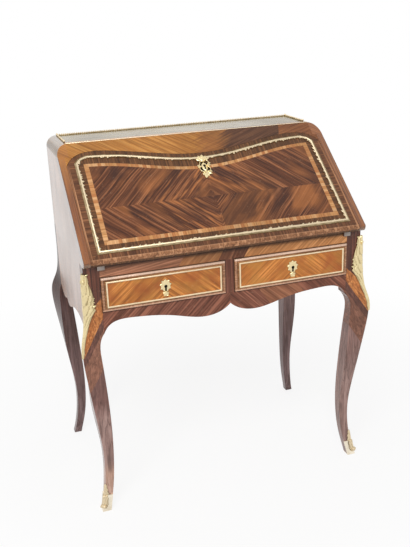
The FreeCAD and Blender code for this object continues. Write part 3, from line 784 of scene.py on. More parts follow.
class StripedVeneer(Effect):
    """Sliced veneer: stripes, fine streaks, growth lines and pores along X, changing across Y."""

    name = "striped_veneer"
    inputs = {"Vector": "Vector", "Dark": "Color", "Mid": "Color", "Light": "Color", "Stripes": "Float"}
    outputs = {"Color": "Color", "Height": "Float"}

    def build(self, g: Graph, given: dict[str, Wire]) -> dict[str, Wire]:
        """Adds the nodes.

        Args:
            g: Graph of the group.
            given: Wire of each input.

        Returns:
            Wire for each output.
        """
        vector, pitch, dark = given["Vector"], given["Stripes"], given["Dark"]
        stripe = g.streaks(vector, 3.0, pitch, 2.5, 0.25)
        streak = g.streaks(vector, 9.0, pitch * 2.6, 2.0)
        patch = g.streaks(vector, 5.0, pitch * 0.2, 1.0)
        tone = g.spread(stripe * 0.47 + streak * 0.36 + patch * 0.17, 0.34, 0.62)
        tone = tone * g.spread(abs(stripe - 0.5), 0.0, 0.05, (0.45, 1.0))
        color = g.mix(g.spread(tone, 0.0, 0.5), dark, given["Mid"])
        color = g.mix(g.spread(tone, 0.5, 1.0), color, given["Light"])
        growth = abs(g.streaks(vector, 2.5, 110.0, 1.5) - 0.5)
        color = g.mix(g.spread(growth, 0.008, 0.05, (0.6, 0.0)), color, g.mix(0.4, dark, SOOT))
        pores = g.spread(g.streaks(vector, 55.0, 1500.0, 1.0), 0.6, 0.72)
        color = g.mix(pores * 0.5, color, g.mix(0.62, color, SOOT))
        return {"Color": color, "Height": tone * 0.25 - pores}


class AgedPolish(Effect):
    """Old polish: faint mottling, rubbed patches and hairlines of dull scratches."""

    name = "aged_polish"
    inputs = {"Vector": "Vector", "Color": "Color", "Dull": "Float"}
    outputs = {"Color": "Color", "Roughness": "Float"}

    def build(self, g: Graph, given: dict[str, Wire]) -> dict[str, Wire]:
        """Adds the nodes.

        Args:
            g: Graph of the group.
            given: Wire of each input.

        Returns:
            Wire for each output.
        """
        vector, color = given["Vector"], given["Color"]
        cloud = g.noise(vector, 9.0, 3.0)
        color = g.mix(g.spread(cloud, 0.42, 0.75), color, g.mix(0.3, color, (0.03, 0.014, 0.008)))
        rubbed = g.mix(0.16, color, (0.62, 0.4, 0.25))
        color = g.mix(g.spread(g.noise(vector, 160.0), 0.64, 0.8), color, rubbed)
        scratch = g.spread(g.noise(g.scaled(vector, (30.0, 30.0, 900.0)), 1.0, 1.0), 0.68, 0.8)
        return {"Color": color, "Roughness": given["Dull"] + (cloud - 0.5) * 0.22 + scratch * 0.12}


class WornMetal(Effect):
    """Old metal: bright where it is rubbed, brown in the hollows as dirt there and as painted shade, with
    fine pitting.
    """

    name = "worn_metal"
    inputs = {"Vector": "Vector", "Color": "Color", "Hollow": "Color", "Relief": "Float", "Dull": "Float"}
    outputs = {"Color": "Color", "Roughness": "Float", "Height": "Float"}

    def build(self, g: Graph, given: dict[str, Wire]) -> dict[str, Wire]:
        """Adds the nodes.

        Args:
            g: Graph of the group.
            given: Wire of each input.

        Returns:
            Wire for each output.
        """
        cloud = g.noise(given["Vector"], 60.0, 3.0)
        pit = g.noise(given["Vector"], 900.0)
        lift = g.spread(given["Relief"] + (cloud - 0.5) * 0.7, 0.15, 0.85)
        # Low relief takes the hollow tone: dirt, and painted shade in the recesses.
        color = g.mix(lift, given["Hollow"], given["Color"])
        color = g.mix(g.spread(pit, 0.62, 0.78), color, given["Hollow"])
        rough = given["Dull"] + (1.0 - lift) * 0.25 + (cloud - 0.5) * 0.2
        return {"Color": color, "Roughness": rough, "Height": cloud * 0.6 + pit * 0.4}


# Finishes


@dataclass(frozen=True)
class Finish:
    """Surface of one kind, with the name of its material."""

    name: str

    def shade(self, g: Graph, place: Wire) -> dict[str, Value]:
        """Values for the shader's sockets.

        Args:
            g: Material's graph.
            place: Object coordinates.

        Returns:
            A number, colour or wire for each socket's name.
        """
        raise NotImplementedError

    def material(self) -> bpy.types.Material:
        """The finish as a material, made once.

        Returns:
            The material.
        """
        found = bpy.data.materials.get(self.name)
        if found:
            return found
        made = bpy.data.materials.new(self.name)
        made.use_nodes = True
        g = Graph(made.node_tree)
        surface = made.node_tree.nodes["Principled BSDF"]
        for socket, value in self.shade(g, g.wire("ShaderNodeTexCoord", "Object")).items():
            g.put(surface.inputs[socket], value)
        return made


@dataclass(frozen=True)
class Grain:
    """One run of veneer.

    Args:
        dark: Darkest stripes.
        mid: Middle tone.
        light: Lightest stripes.
        stripes: Stripes for each metre across the grain.
    """

    dark: Triple
    mid: Triple
    light: Triple
    stripes: float = 90.0


@dataclass(frozen=True)
class Wood(Finish):
    """Polished veneer with one run of grain; other veneers lay out several of these.

    Args:
        grain: Its main run.
        turn: How the grain's frame is turned on the desk, in degrees about x, y and z.
        dull: Roughness of the polish.
        gloss: Specular level.
        varnish: Share of a clear coat over the polish.
        jointed: Whether it shows painted shade in the gap round the drawers.
    """

    grain: Grain
    turn: Triple = ORIGIN
    dull: float = 0.3
    gloss: float = 0.25
    varnish: float = 0.0
    jointed: bool = False

    def run(self, g: Graph, vector: Wire, grain: Grain | None = None) -> Painted:
        """Colour and height of the main run of veneer, or of another.

        Args:
            g: Material's graph.
            vector: Coordinates with the grain along X.
            grain: The other run, if any.

        Returns:
            Colour and height.
        """
        laid = grain or self.grain
        made = g.group(StripedVeneer().tree(), {"Vector": vector, "Dark": laid.dark, "Mid": laid.mid,
                                                "Light": laid.light, "Stripes": laid.stripes})
        return made["Color"], made["Height"]

    def tint(self, g: Graph, vector: Wire, grain: Grain) -> Wire:
        """Colour alone of another run of veneer."""
        return self.run(g, vector, grain)[0]

    def paint(self, g: Graph, place: Wire) -> Painted:
        """Colour and height all over the piece."""
        color, height = self.run(g, g.frame(place, turn=self.turn))
        return self.joint(g, place, color) if self.jointed else color, height

    def coat(self, g: Graph, place: Wire) -> Value:
        """Share of clear coat all over the piece."""
        return self.varnish

    def joint(self, g: Graph, place: Wire, color: Wire) -> Wire:
        """Colour with painted shade in the gap round each drawer.

        Args:
            g: Material's graph.
            place: Object coordinates.
            color: Colour of the wood.

        Returns:
            The colour with the painted shade.
        """
        x, _, z = g.split(place)
        across = abs(abs(x) - DRAWER_MIDDLE[0]) - LIP_HALF[0]
        upward = abs(z - DRAWER_MIDDLE[1]) - LIP_HALF[1]
        away = g.math("MAXIMUM", across, upward)
        # Painted shade: the wood darkens within a few millimetres of each drawer's lip.
        return g.mix(g.spread(away, 0.0012, 0.0042, (0.62, 0.0)), color, (0.03, 0.01, 0.006))

    def shade(self, g: Graph, place: Wire) -> dict[str, Value]:
        """Veneer under old polish.

        Args:
            g: Material's graph.
            place: Object coordinates.

        Returns:
            Values for the shader's sockets.
        """
        color, height = self.paint(g, place)
        polish = g.group(AgedPolish().tree(), {"Vector": place, "Color": color, "Dull": self.dull})
        return {"Base Color": polish["Color"], "Roughness": polish["Roughness"],
                "Normal": g.bump(height, 0.05), "Specular IOR Level": self.gloss,
                "Coat Weight": self.coat(g, place), "Coat Roughness": 0.12}


@dataclass(frozen=True)
class Slope:
    """Flat frame of the fall: x across, y up from its lower corner, z out from the pivot's plane."""

    lip_y: float = -0.240193
    lip_z: float = 0.691360
    degrees: float = 38.2265
    face: float = 0.011
    back: float = -0.005
    reach: float = 0.29
    dip: float = 0.04

    @property
    def place(self) -> Triple:
        """Point where the flat frame starts."""
        return (0.0, self.lip_y, self.lip_z)

    def matrix(self) -> Matrix:
        """Place of the flat frame on the desk."""
        return Matrix.Translation(self.place) @ Matrix.Rotation(math.radians(self.degrees), 4, "X")

    def flat(self, g: Graph, place: Wire) -> Wire:
        """Coordinates in the flat frame."""
        return g.frame(place, self.place, (self.degrees, 0.0, 0.0))

    def crest(self, half: float, corner: float, top: float) -> list[Flat]:
        """Serpentine line from the right bend over to the left bend.

        Args:
            half: Half the width that it spans.
            corner: Height where the bends start.
            top: Height at the ends of the serpentine.

        Returns:
            Close points along the line.
        """
        bend = top - corner
        right = [(half, corner), (half - 0.25 * (half - self.reach), corner + 0.56 * bend),
                 (half - 0.62 * (half - self.reach), corner + 0.89 * bend)]
        for share in (1, 0.75, 0.5, 0.25):
            right.append((self.reach * share, top - self.dip * (1 + math.cos(math.pi * share)) / 2))
        left = [(-x, y) for x, y in reversed(right)]
        return flowing(right + [(0.0, top - self.dip)] + left)


SLOPE = Slope()


@dataclass(frozen=True)
class FallVeneer(Wood):
    """Fall: quarter-matched field, tan crossband, dark borders and a tan edge."""

    seam: float = 0.153
    centre: float = -0.006
    slant: float = 46.0
    band_half: float = 0.311
    band_low: float = 0.0435
    band_dip: float = 0.255
    band_rise: float = 0.044
    band_wide: float = 0.0118
    band_thin: float = 0.0098
    arch_half: float = 0.31
    blocks: float = 105.0
    outer_half: float = 0.332
    outer_low: float = 0.022
    edge_half: float = 0.3478
    edge_low: float = 0.0042
    edge_high: float = 0.3
    band: Grain = Grain((0.42, 0.17, 0.055), (0.6, 0.29, 0.105), (0.74, 0.41, 0.19), 260.0)
    border: Grain = Grain((0.06, 0.024, 0.009), (0.135, 0.056, 0.02), (0.24, 0.103, 0.04), 150.0)
    outer: Grain = Grain((0.07, 0.026, 0.012), (0.17, 0.066, 0.028), (0.32, 0.135, 0.058), 150.0)
    edge: Grain = Grain((0.17, 0.066, 0.027), (0.36, 0.162, 0.076), (0.56, 0.285, 0.145), 110.0)
    inside: Grain = Grain((0.1, 0.042, 0.022), (0.16, 0.07, 0.036), (0.22, 0.1, 0.05), 60.0)

    def paint(self, g: Graph, place: Wire) -> Painted:
        """Colour and height all over the fall.

        Args:
            g: Material's graph.
            place: Object coordinates.

        Returns:
            Colour and height.
        """
        x, s, n = g.split(SLOPE.flat(g, place))
        across = abs(x)
        field, height = self.field(g, x, s)
        arch = g.math("COSINE", g.math("MINIMUM", across, self.arch_half) * (math.pi / self.arch_half))
        top = arch * (-self.band_rise / 2) + (self.band_dip + self.band_rise / 2)
        half_in, low_in = self.band_half - self.band_wide, self.band_low + self.band_wide
        top_in = top - self.band_thin
        upright = g.above(across - half_in, g.math("MAXIMUM", low_in - s, s - top_in))
        run = g.mix(upright, g.join(s, x, 0.0), g.join(x, s, 0.0))
        border, outer = self.tint(g, run, self.border), self.tint(g, run, self.outer)
        edge = self.tint(g, g.join(s, x, n), self.edge)
        color = g.mix(g.above(across, self.outer_half), border, outer)
        color = g.mix(g.above(self.outer_low, s), color, outer)
        in_band = g.above(self.band_half, across) * g.between(self.band_low, s, top)
        color = g.mix(in_band, color, self.crossband(g, run))
        in_field = g.above(half_in, across) * g.between(low_in, s, top_in)
        color = g.mix(in_field, color, field)
        on_edge = g.math("MAXIMUM", g.above(across, self.edge_half), g.above(self.edge_low, s))
        color = g.mix(on_edge * g.above(self.edge_high, s), color, edge)
        # Painted highlight: a pale line along the upper edge of the fall's lower nose.
        arris_highlight = g.between(0.0034, s, 0.0058) * g.above(n, 0.009)
        color = g.mix(arris_highlight, color, g.mix(0.3, edge, (0.6, 0.33, 0.18)))
        # Painted shade: the lower face of the nose takes the dark border veneer.
        under = g.above(self.edge_low, s) * g.above(0.0035, n)
        color = g.mix(under, color, border)
        inside = self.tint(g, g.join(x, s, n), self.inside)
        return g.mix(g.above(-0.0042, n), color, inside), height

    def crossband(self, g: Graph, run: Wire) -> Wire:
        """Short blocks of tan veneer, each of its own tone.

        Args:
            g: Material's graph.
            run: Coordinates with the band along Y.

        Returns:
            Colour.
        """
        number = g.math("FLOOR", g.split(run)[1] * self.blocks)
        tone = g.wire("ShaderNodeTexWhiteNoise", "Value", {"W": number}, noise_dimensions="1D")
        color = self.tint(g, run, self.band)
        color = g.mix(g.spread(tone, 0.0, 0.55, (0.75, 0.0)), color, (0.42, 0.15, 0.05))
        return g.mix(g.spread(tone, 0.6, 1.0, (0.0, 0.6)), color, (0.82, 0.5, 0.26))

    def field(self, g: Graph, x: Wire, s: Wire) -> Painted:
        """Colour and height of quarter-matched stripes that meet in diamonds.

        Args:
            g: Material's graph.
            x: Place across the fall.
            s: Place up its slope.

        Returns:
            Colour and height.
        """
        wander = g.noise(g.join(x, s, 0.0), 7.0, 1.0)
        a, b = abs(x - self.centre), abs(s - self.seam)
        along, across = g.slanted(a, b, self.slant)
        across = across + (wander - 0.5) * 0.012
        quarter = g.math("SIGN", x) * 0.004 + g.math("SIGN", s - self.seam) * 0.003
        color, height = self.run(g, g.join(along, across, quarter))
        spot = g.join(along * 0.45, across, quarter * 40.0)
        warm = g.mix(0.55, color, (0.46, 0.165, 0.05))
        color = g.mix(g.spread(g.noise(spot, 13.0, 2.0, 0.4), 0.5, 0.66), color, warm)
        reach = a + b
        ring = g.spread(reach, 0.035, 0.06) * g.spread(reach, 0.13, 0.22, (1.0, 0.0))
        glow = g.spread(g.noise(g.join(along * 0.12, across, 0.6), 105.0), 0.52, 0.64, (0.0, 0.75))
        color = g.mix(ring * glow, color, (0.5, 0.185, 0.06))
        heart = g.spread(reach, 0.012, 0.04, (0.75, 0.0))
        cloudy = g.spread(g.noise(spot, 17.0, 2.0, 0.8), 0.5, 0.66)
        deep = g.mix(0.66, color, (0.04, 0.015, 0.011))
        return g.mix(g.math("MAXIMUM", heart, cloudy), color, deep), height


@dataclass(frozen=True)
class FasciaVeneer(Wood):
    """Fixed board over the fall: orange at the left, a dark patch, then red-brown."""

    right_from: float = 0.244
    dark: Grain = Grain((0.06, 0.026, 0.014), (0.12, 0.05, 0.026), (0.19, 0.085, 0.042))
    right: Grain = Grain((0.17, 0.06, 0.024), (0.26, 0.095, 0.036), (0.34, 0.135, 0.052), 70.0)

    def paint(self, g: Graph, place: Wire) -> Painted:
        """Colour and height all over the board.

        Args:
            g: Material's graph.
            place: Object coordinates.

        Returns:
            Colour and height.
        """
        spot = SLOPE.flat(g, place)
        x, s, _ = g.split(spot)
        lean = x - (s - 0.34) * 0.3
        left, height = self.run(g, g.turned(spot, -38.0))
        tilted = g.turned(spot, 24.0)
        right = self.tint(g, g.turned(spot, 20.0), self.right)
        edge = lean + (g.noise(g.scaled(tilted, (11.0, 150.0, 1.0)), 1.0) - 0.5) * 0.1
        color = g.mix(g.spread(edge, -0.01, 0.02), left, g.mix(0.58, left, right))
        color = g.mix(g.spread(edge, 0.066, 0.102), color, self.tint(g, tilted, self.dark))
        return g.mix(g.above(lean, self.right_from), color, right), height


@dataclass(frozen=True)
class SideVeneer(Wood):
    """Side panel: upright veneer with a crossbanded edge, and an orange strip on its slanted front."""

    wall: float = 0.371
    band_deep: float = 0.031
    line_deep: float = 0.034
    band: Grain = Grain((0.12, 0.05, 0.024), (0.2, 0.088, 0.045), (0.28, 0.13, 0.07), 150.0)
    line: Grain = Grain((0.3, 0.15, 0.07), (0.42, 0.22, 0.11), (0.5, 0.28, 0.15), 150.0)
    strip: Grain = Grain((0.13, 0.035, 0.006), (0.27, 0.08, 0.012), (0.4, 0.14, 0.03), 160.0)
    lining: Grain = Grain((0.16, 0.075, 0.038), (0.24, 0.115, 0.055), (0.32, 0.16, 0.08), 60.0)

    def coat(self, g: Graph, place: Wire) -> Value:
        """Share of clear coat, worn thin towards the lower edge."""
        return g.spread(g.split(place)[2], 0.51, 0.68, (0.05, self.varnish))

    def paint(self, g: Graph, place: Wire) -> Painted:
        """Colour and height all over the panel.

        Args:
            g: Material's graph.
            place: Object coordinates.

        Returns:
            Colour and height.
        """
        x, s, n = g.split(SLOPE.flat(g, place))
        px, py, pz = g.split(place)
        field, height = self.run(g, g.join(pz, py, px))
        strip = self.tint(g, g.join(s, x, n), self.strip)
        # Painted shade: the right side's strip is darkened.
        strip = g.mix(g.above(x, 0.0), strip, g.mix(0.22, strip, (0.07, 0.022, 0.01)))
        # Painted highlight: a brighter orange patch up the left side's strip.
        strip_highlight = g.mix(0.75, strip, (0.5, 0.19, 0.025))
        strip = g.mix(g.spread(s, 0.2, 0.34) * g.above(0.0, x), strip, strip_highlight)
        depth = SLOPE.face - n
        color = g.mix(g.above(self.line_deep, depth), field, self.tint(g, g.join(s, n, x), self.line))
        color = g.mix(g.above(self.band_deep, depth), color, self.tint(g, g.join(n, s, x), self.band))
        inner = g.above(self.wall - SKIN, abs(x), CRISP)
        color = g.mix(inner, color, strip)
        lining = self.tint(g, g.join(py, pz, px), self.lining)
        return g.mix(inner * g.above(depth, 0.004), color, lining), height


@dataclass(frozen=True)
class ShoulderVeneer(Wood):
    """Rounded shoulder: its own veneer on the slanted front, plain brown veneer over the round."""

    brown: Grain = Grain((0.1, 0.052, 0.014), (0.19, 0.1, 0.028), (0.28, 0.155, 0.05), 60.0)

    def paint(self, g: Graph, place: Wire) -> Painted:
        """Colour and height all over the shoulder.

        Args:
            g: Material's graph.
            place: Object coordinates.

        Returns:
            Colour and height.
        """
        spot = SLOPE.flat(g, place)
        front, height = self.run(g, g.turned(spot, -38.0))
        x, y, z = g.split(place)
        brown = self.tint(g, g.join(y, x, z), self.brown)
        return g.mix(g.above(g.split(spot)[2], SLOPE.face - SKIN, CRISP), brown, front), height


@dataclass(frozen=True)
class DrawerVeneer(Wood):
    """Drawer front: orange panel matched at its middle, in an olive surround."""

    half: Flat = (0.1470, 0.0330)
    slant: float = 40.0
    surround: Grain = Grain((0.16, 0.065, 0.022), (0.33, 0.15, 0.057), (0.48, 0.235, 0.1), 220.0)

    def paint(self, g: Graph, place: Wire) -> Painted:
        """Colour and height all over the front.

        Args:
            g: Material's graph.
            place: Object coordinates.

        Returns:
            Colour and height.
        """
        x, _, z = g.split(place)
        a, b = abs(abs(x) - DRAWER_MIDDLE[0]), z - DRAWER_MIDDLE[1]
        along, across = g.slanted(a, b, self.slant)
        panel, height = self.run(g, g.join(along, across, g.math("SIGN", x) * 0.03))
        red = g.noise(g.join(x, z, 0.3), 17.0) + g.spread(abs(x), 0.2, 0.31, (-0.06, 0.1))
        panel = g.mix(g.spread(red, 0.46, 0.64, (0.0, 0.7)), panel, (0.37, 0.098, 0.026))
        gold = g.noise(g.join(x, z, 0.9), 21.0)
        panel = g.mix(g.spread(gold, 0.5, 0.64, (0.0, 0.5)), panel, (0.49, 0.225, 0.048))
        inner = g.above(self.half[0], a) * g.above(self.half[1], abs(b))
        return g.mix(inner, self.tint(g, place, self.surround), panel), height


@dataclass(frozen=True)
class RailVeneer(Wood):
    """Rail over the drawers: dark at the left, orange slanting grain in the middle and right."""

    dark: Grain = Grain((0.21, 0.087, 0.045), (0.385, 0.16, 0.085), (0.545, 0.238, 0.133))
    red: Grain = Grain((0.1, 0.034, 0.016), (0.18, 0.066, 0.032), (0.27, 0.105, 0.053))

    def paint(self, g: Graph, place: Wire) -> Painted:
        """Colour and height all over the rail.

        Args:
            g: Material's graph.
            place: Object coordinates.

        Returns:
            Colour and height.
        """
        x, y, z = g.split(place)
        lean = x - (z - 0.66) * 0.6
        face = g.join(x, z, y)
        orange, height = self.run(g, g.turned(face, 42.0))
        red = self.tint(g, g.turned(face, 60.0), self.red)
        orange = g.mix(g.above(0.01, lean), orange, g.mix(0.45, orange, red))
        color = g.mix(g.above(-0.128, lean), orange, self.tint(g, g.turned(face, 8.0), self.dark))
        color = self.joint(g, place, g.mix(g.between(-0.025, lean, 0.045), color, red))
        # Painted shadow of the fall's nose: the rail darkens along its top edge.
        return g.mix(g.spread(z, 0.669, 0.677, (0.0, 0.88)), color, (0.02, 0.008, 0.005)), height


@dataclass(frozen=True)
class ApronVeneer(Wood):
    """Apron: dark slanting veneers laid in several lengths, mirrored about the middle."""

    warm: Grain = Grain((0.17, 0.06, 0.03), (0.3, 0.115, 0.058), (0.42, 0.18, 0.095), 100.0)

    def paint(self, g: Graph, place: Wire) -> Painted:
        """Colour and height all over the apron.

        Args:
            g: Material's graph.
            place: Object coordinates.

        Returns:
            Colour and height.
        """
        x, _, z = g.split(place)
        across = abs(x)
        face = g.join(across, z, g.math("SIGN", x) * 0.02)
        lean = across + (z - 0.53) * 0.7
        main, height = self.run(g, g.turned(face, -44.0))
        warm = self.tint(g, g.turned(face, -40.0), self.warm)
        right = g.above(x, 0.0) * g.between(0.1, lean, 0.21)
        return self.joint(g, place, g.mix(right, main, warm)), height


@dataclass(frozen=True)
class LegVeneer(Wood):
    """Leg: dark stile, orange patch at the knee above a band of painted shade, red-brown thigh and calf,
    grey-brown down to a pale foot.
    """

    stile_at: Flat = (0.331, 0.1815)
    patch_top: Flat = (0.599, 0.581)
    patch: Grain = Grain((0.24, 0.07, 0.015), (0.51, 0.173, 0.044), (0.74, 0.3, 0.09), 140.0)
    thigh: Grain = Grain((0.17, 0.068, 0.04), (0.28, 0.118, 0.07), (0.38, 0.17, 0.105), 70.0)
    dusk: Grain = Grain((0.08, 0.03, 0.02), (0.15, 0.058, 0.038), (0.22, 0.088, 0.058), 70.0)
    stile: Grain = Grain((0.045, 0.013, 0.007), (0.132, 0.04, 0.021), (0.22, 0.074, 0.042), 130.0)
    calf: Grain = Grain((0.1, 0.04, 0.031), (0.17, 0.073, 0.058), (0.25, 0.115, 0.094), 80.0)
    pale: Grain = Grain((0.34, 0.19, 0.13), (0.5, 0.3, 0.22), (0.64, 0.41, 0.31))

    def paint(self, g: Graph, place: Wire) -> Painted:
        """Colour and height all over the leg.

        Args:
            g: Material's graph.
            place: Object coordinates.

        Returns:
            Colour and height.
        """
        x, y, z = g.split(place)
        across = g.math("MINIMUM", abs(x) - self.stile_at[0], abs(y) - self.stile_at[1])
        upright = g.join(z, x, y)
        lower, height = self.run(g, upright)
        tilted = g.turned(g.join(across, z, x + y), -56.0)
        patch, thigh, dusk = (self.tint(g, tilted, grain) for grain in (self.patch, self.thigh, self.dusk))
        stile, calf, pale = (self.tint(g, upright, grain) for grain in (self.stile, self.calf, self.pale))
        # Painted shade: the thigh is mixed towards the shade band, more on the right leg.
        thigh = g.mix(g.spread(x, -0.01, 0.01, (0.1, 0.36)), thigh, dusk)
        calf = g.mix(g.spread(x, -0.01, 0.01, (0.1, 0.55)), calf, lower)
        pale = g.mix(g.above(x, 0.0), pale, lower)
        color = g.mix(g.spread(z, 0.1, 0.135, (0.8, 0.0)), lower, pale)
        color = g.mix(g.spread(z, 0.27, 0.32), color, calf)
        rise = z + across * 1.53
        # Slanted bands going up: the thigh, a band of painted shade, then the knee's patch.
        for start, tone in ((0.43, thigh), (0.518, dusk), (0.545, patch)):
            color = g.mix(g.above(rise, start), color, tone)
        top = g.spread(x, -0.01, 0.01, self.patch_top)
        return self.joint(g, place, g.mix(g.above(across + z, top), color, stile)), height


@dataclass(frozen=True)
class BackLegVeneer(Wood):
    """Back leg: grey-brown at the foot; from the knee up dark at the left, and at the right paler, as painted
    light.
    """

    dark: Grain = Grain((0.025, 0.008, 0.005), (0.05, 0.018, 0.012), (0.09, 0.035, 0.024))
    pale: Grain = Grain((0.22, 0.125, 0.11), (0.35, 0.215, 0.195), (0.47, 0.31, 0.285))

    def paint(self, g: Graph, place: Wire) -> Painted:
        """Colour and height all over the leg.

        Args:
            g: Material's graph.
            place: Object coordinates.

        Returns:
            Colour and height.
        """
        x, y, z = g.split(place)
        upright = g.join(z, x, y)
        lower, height = self.run(g, upright)
        # Painted light: the right leg's upper part takes the pale run.
        upper = g.mix(g.above(x, 0.0), self.tint(g, upright, self.dark), self.tint(g, upright, self.pale))
        return g.mix(g.spread(z, 0.2, 0.5), lower, upper), height


@dataclass(frozen=True)
class LipVeneer(Wood):
    """Rounded drawer lip with its grain across the moulding, and painted highlights along its top and bottom
    runs.
    """

    def paint(self, g: Graph, place: Wire) -> Painted:
        """Colour and height all over the lip.

        Args:
            g: Material's graph.
            place: Object coordinates.

        Returns:
            Colour and height.
        """
        x, y, z = g.split(place)
        a, b = abs(abs(x) - DRAWER_MIDDLE[0]), z - DRAWER_MIDDLE[1]
        upright = g.above(a - LIP_HALF[0], abs(b) - LIP_HALF[1])
        color, height = self.run(g, g.mix(upright, g.join(z, x, y), g.join(x, z, y)))
        # Painted highlights: a paler tone along the bottom run of the lip, and a stronger one along its top
        # run.
        lit_sill = g.mix(g.spread(b, -0.0405, -0.0375, (0.62, 0.0)), color, (0.8, 0.5, 0.35))
        crest = g.mix(0.72, color, (0.93, 0.69, 0.54))
        return g.mix(g.spread(b, 0.0378, 0.0402), lit_sill, crest), height


@dataclass(frozen=True)
class Metal(Finish):
    """Cast or filed metal with wear.

    Args:
        bright: Tone where it is rubbed.
        hollow: Tone in the hollows, for dirt there and for painted shade.
        dull: Roughness.
        carved: Whether the piece carries a stored relief.
        even: Relief of a piece that carries none.
    """

    bright: Triple
    hollow: Triple
    dull: float
    carved: bool = False
    even: float = 0.72

    def shade(self, g: Graph, place: Wire) -> dict[str, Value]:
        """Metal, worn after its stored relief or evenly.

        Args:
            g: Material's graph.
            place: Object coordinates.

        Returns:
            Values for the shader's sockets.
        """
        relief = g.wire("ShaderNodeAttribute", "Fac", attribute_name="relief") if self.carved else self.even
        wear = g.group(WornMetal().tree(), {"Vector": place, "Color": self.bright, "Hollow": self.hollow,
                                            "Dull": self.dull, "Relief": relief})
        return {"Base Color": wear["Color"], "Roughness": wear["Roughness"],
                "Normal": g.bump(wear["Height"], 0.18), "Metallic": 1.0}


@dataclass(frozen=True)
class Leather(Finish):
    """Worn leather with a pebbled grain and a gilt tooled border."""

    name: str = "tooled_leather"
    half: float = 0.3193
    low: float = 0.032
    high: float = 0.238
    lines: tuple[Flat, Flat] = ((0.012, 0.0132), (0.021, 0.0218))
    beads: Flat = (0.0152, 0.0188)

    def shade(self, g: Graph, place: Wire) -> dict[str, Value]:
        """Hide with two gilt lines and a row of gilt beads along its edges.

        Args:
            g: Material's graph.
            place: Object coordinates.

        Returns:
            Values for the shader's sockets.
        """
        x, s, _ = g.split(SLOPE.flat(g, place))
        cloud = g.noise(place, 14.0, 4.0)
        hide = g.wire("ShaderNodeTexVoronoi", "Distance", {"Vector": place, "Scale": 900.0})
        color = g.mix(g.spread(cloud, 0.35, 0.68), (0.085, 0.022, 0.012), (0.2, 0.062, 0.03))
        margin = g.math("MINIMUM", self.half - abs(x), g.math("MINIMUM", s - self.low, self.high - s))
        lines = (g.between(start, margin, end, CRISP) for start, end in self.lines)
        dots = g.above(g.math("SINE", (x + s) * 900.0), 0.2, 0.3)
        beads = g.between(self.beads[0], margin, self.beads[1], 0.0003) * dots
        tooling = g.math("MAXIMUM", g.math("MAXIMUM", *lines), beads)
        gilt = tooling * g.spread(g.noise(place, 55.0), 0.38, 0.55)
        return {"Base Color": g.mix(gilt, color, (0.62, 0.42, 0.17)),
                "Roughness": g.spread(cloud, 0.3, 0.7, (0.62, 0.45)) - gilt * 0.2,
                "Normal": g.bump(hide * 0.6 - tooling * 0.7, 0.35, 0.0004)}


PALE_GILT = Metal("pale_gilt", (0.76, 0.63, 0.43), (0.2, 0.14, 0.06), 0.46, True)
SHOE_GILT = Metal("shoe_gilt", (0.96, 0.88, 0.73), (0.52, 0.41, 0.26), 0.34)
CARVED_GILT = Metal("carved_gilt", (0.83, 0.69, 0.4), (0.18, 0.12, 0.045), 0.32, True)
PLAIN_GILT = Metal("plain_gilt", (0.97, 0.8, 0.55), (0.55, 0.38, 0.19), 0.3)
BRASS = Metal("worn_brass", (0.74, 0.58, 0.3), (0.2, 0.13, 0.05), 0.34)
STEEL = Metal("filed_steel", (0.44, 0.42, 0.39), (0.08, 0.062, 0.046), 0.34)
OLD_STEEL = Metal("brown_steel", (0.37, 0.32, 0.29), (0.09, 0.07, 0.055), 0.4)
# Black sheet of painted shade that shows through the keyholes.
KEYHOLE_SHADE = Metal("black_iron", (0.02, 0.017, 0.014), (0.006, 0.005, 0.004), 0.6)

FALL = FallVeneer("fall_marquetry",
                  Grain((0.04, 0.012, 0.006), (0.15, 0.05, 0.021), (0.38, 0.148, 0.062), 240.0))
FASCIA = FasciaVeneer("fascia_veneer",
                      Grain((0.37, 0.14, 0.03), (0.52, 0.22, 0.052), (0.62, 0.3, 0.085), 95.0))
SIDE = SideVeneer("side_veneer", Grain((0.23, 0.1, 0.045), (0.37, 0.17, 0.082), (0.48, 0.24, 0.125), 60.0),
                  dull=0.22, gloss=0.45, varnish=0.62)
ORANGE = ShoulderVeneer("orange_veneer",
                        Grain((0.34, 0.125, 0.03), (0.5, 0.2, 0.045), (0.62, 0.28, 0.075), 95.0),
                        varnish=0.4)
RED = ShoulderVeneer("red_veneer", Grain((0.2, 0.068, 0.024), (0.31, 0.112, 0.04), (0.41, 0.16, 0.06), 80.0),
                     varnish=0.5)
# Olive tones, lighter and greener than the wood's own: partly painted sheen of the glare on the top.
TOP = Wood("top_veneer", Grain((0.125, 0.086, 0.02), (0.225, 0.158, 0.04), (0.325, 0.235, 0.07), 60.0),
           dull=0.26, gloss=0.38, varnish=0.06)
RAIL = RailVeneer("rail_veneer", Grain((0.4, 0.155, 0.048), (0.62, 0.268, 0.094), (0.78, 0.37, 0.148), 110.0))
DRAWER = DrawerVeneer("drawer_veneer",
                      Grain((0.29, 0.09, 0.018), (0.56, 0.198, 0.042), (0.8, 0.32, 0.08), 150.0))
APRON = ApronVeneer("apron_veneer",
                    Grain((0.08, 0.025, 0.014), (0.2, 0.07, 0.042), (0.38, 0.148, 0.09), 120.0))
LEG = LegVeneer("leg_veneer", Grain((0.2, 0.115, 0.097), (0.325, 0.195, 0.167), (0.43, 0.275, 0.24), 110.0),
                dull=0.24, gloss=0.28, varnish=0.2)
BACK_LEG = BackLegVeneer("back_leg_veneer",
                         Grain((0.12, 0.07, 0.065), (0.2, 0.125, 0.12), (0.28, 0.185, 0.18), 70.0),
                         dull=0.24, gloss=0.2, varnish=0.12)
POST = Wood("post_veneer", Grain((0.09, 0.03, 0.018), (0.17, 0.06, 0.036), (0.25, 0.095, 0.06)), UPRIGHT,
            jointed=True)
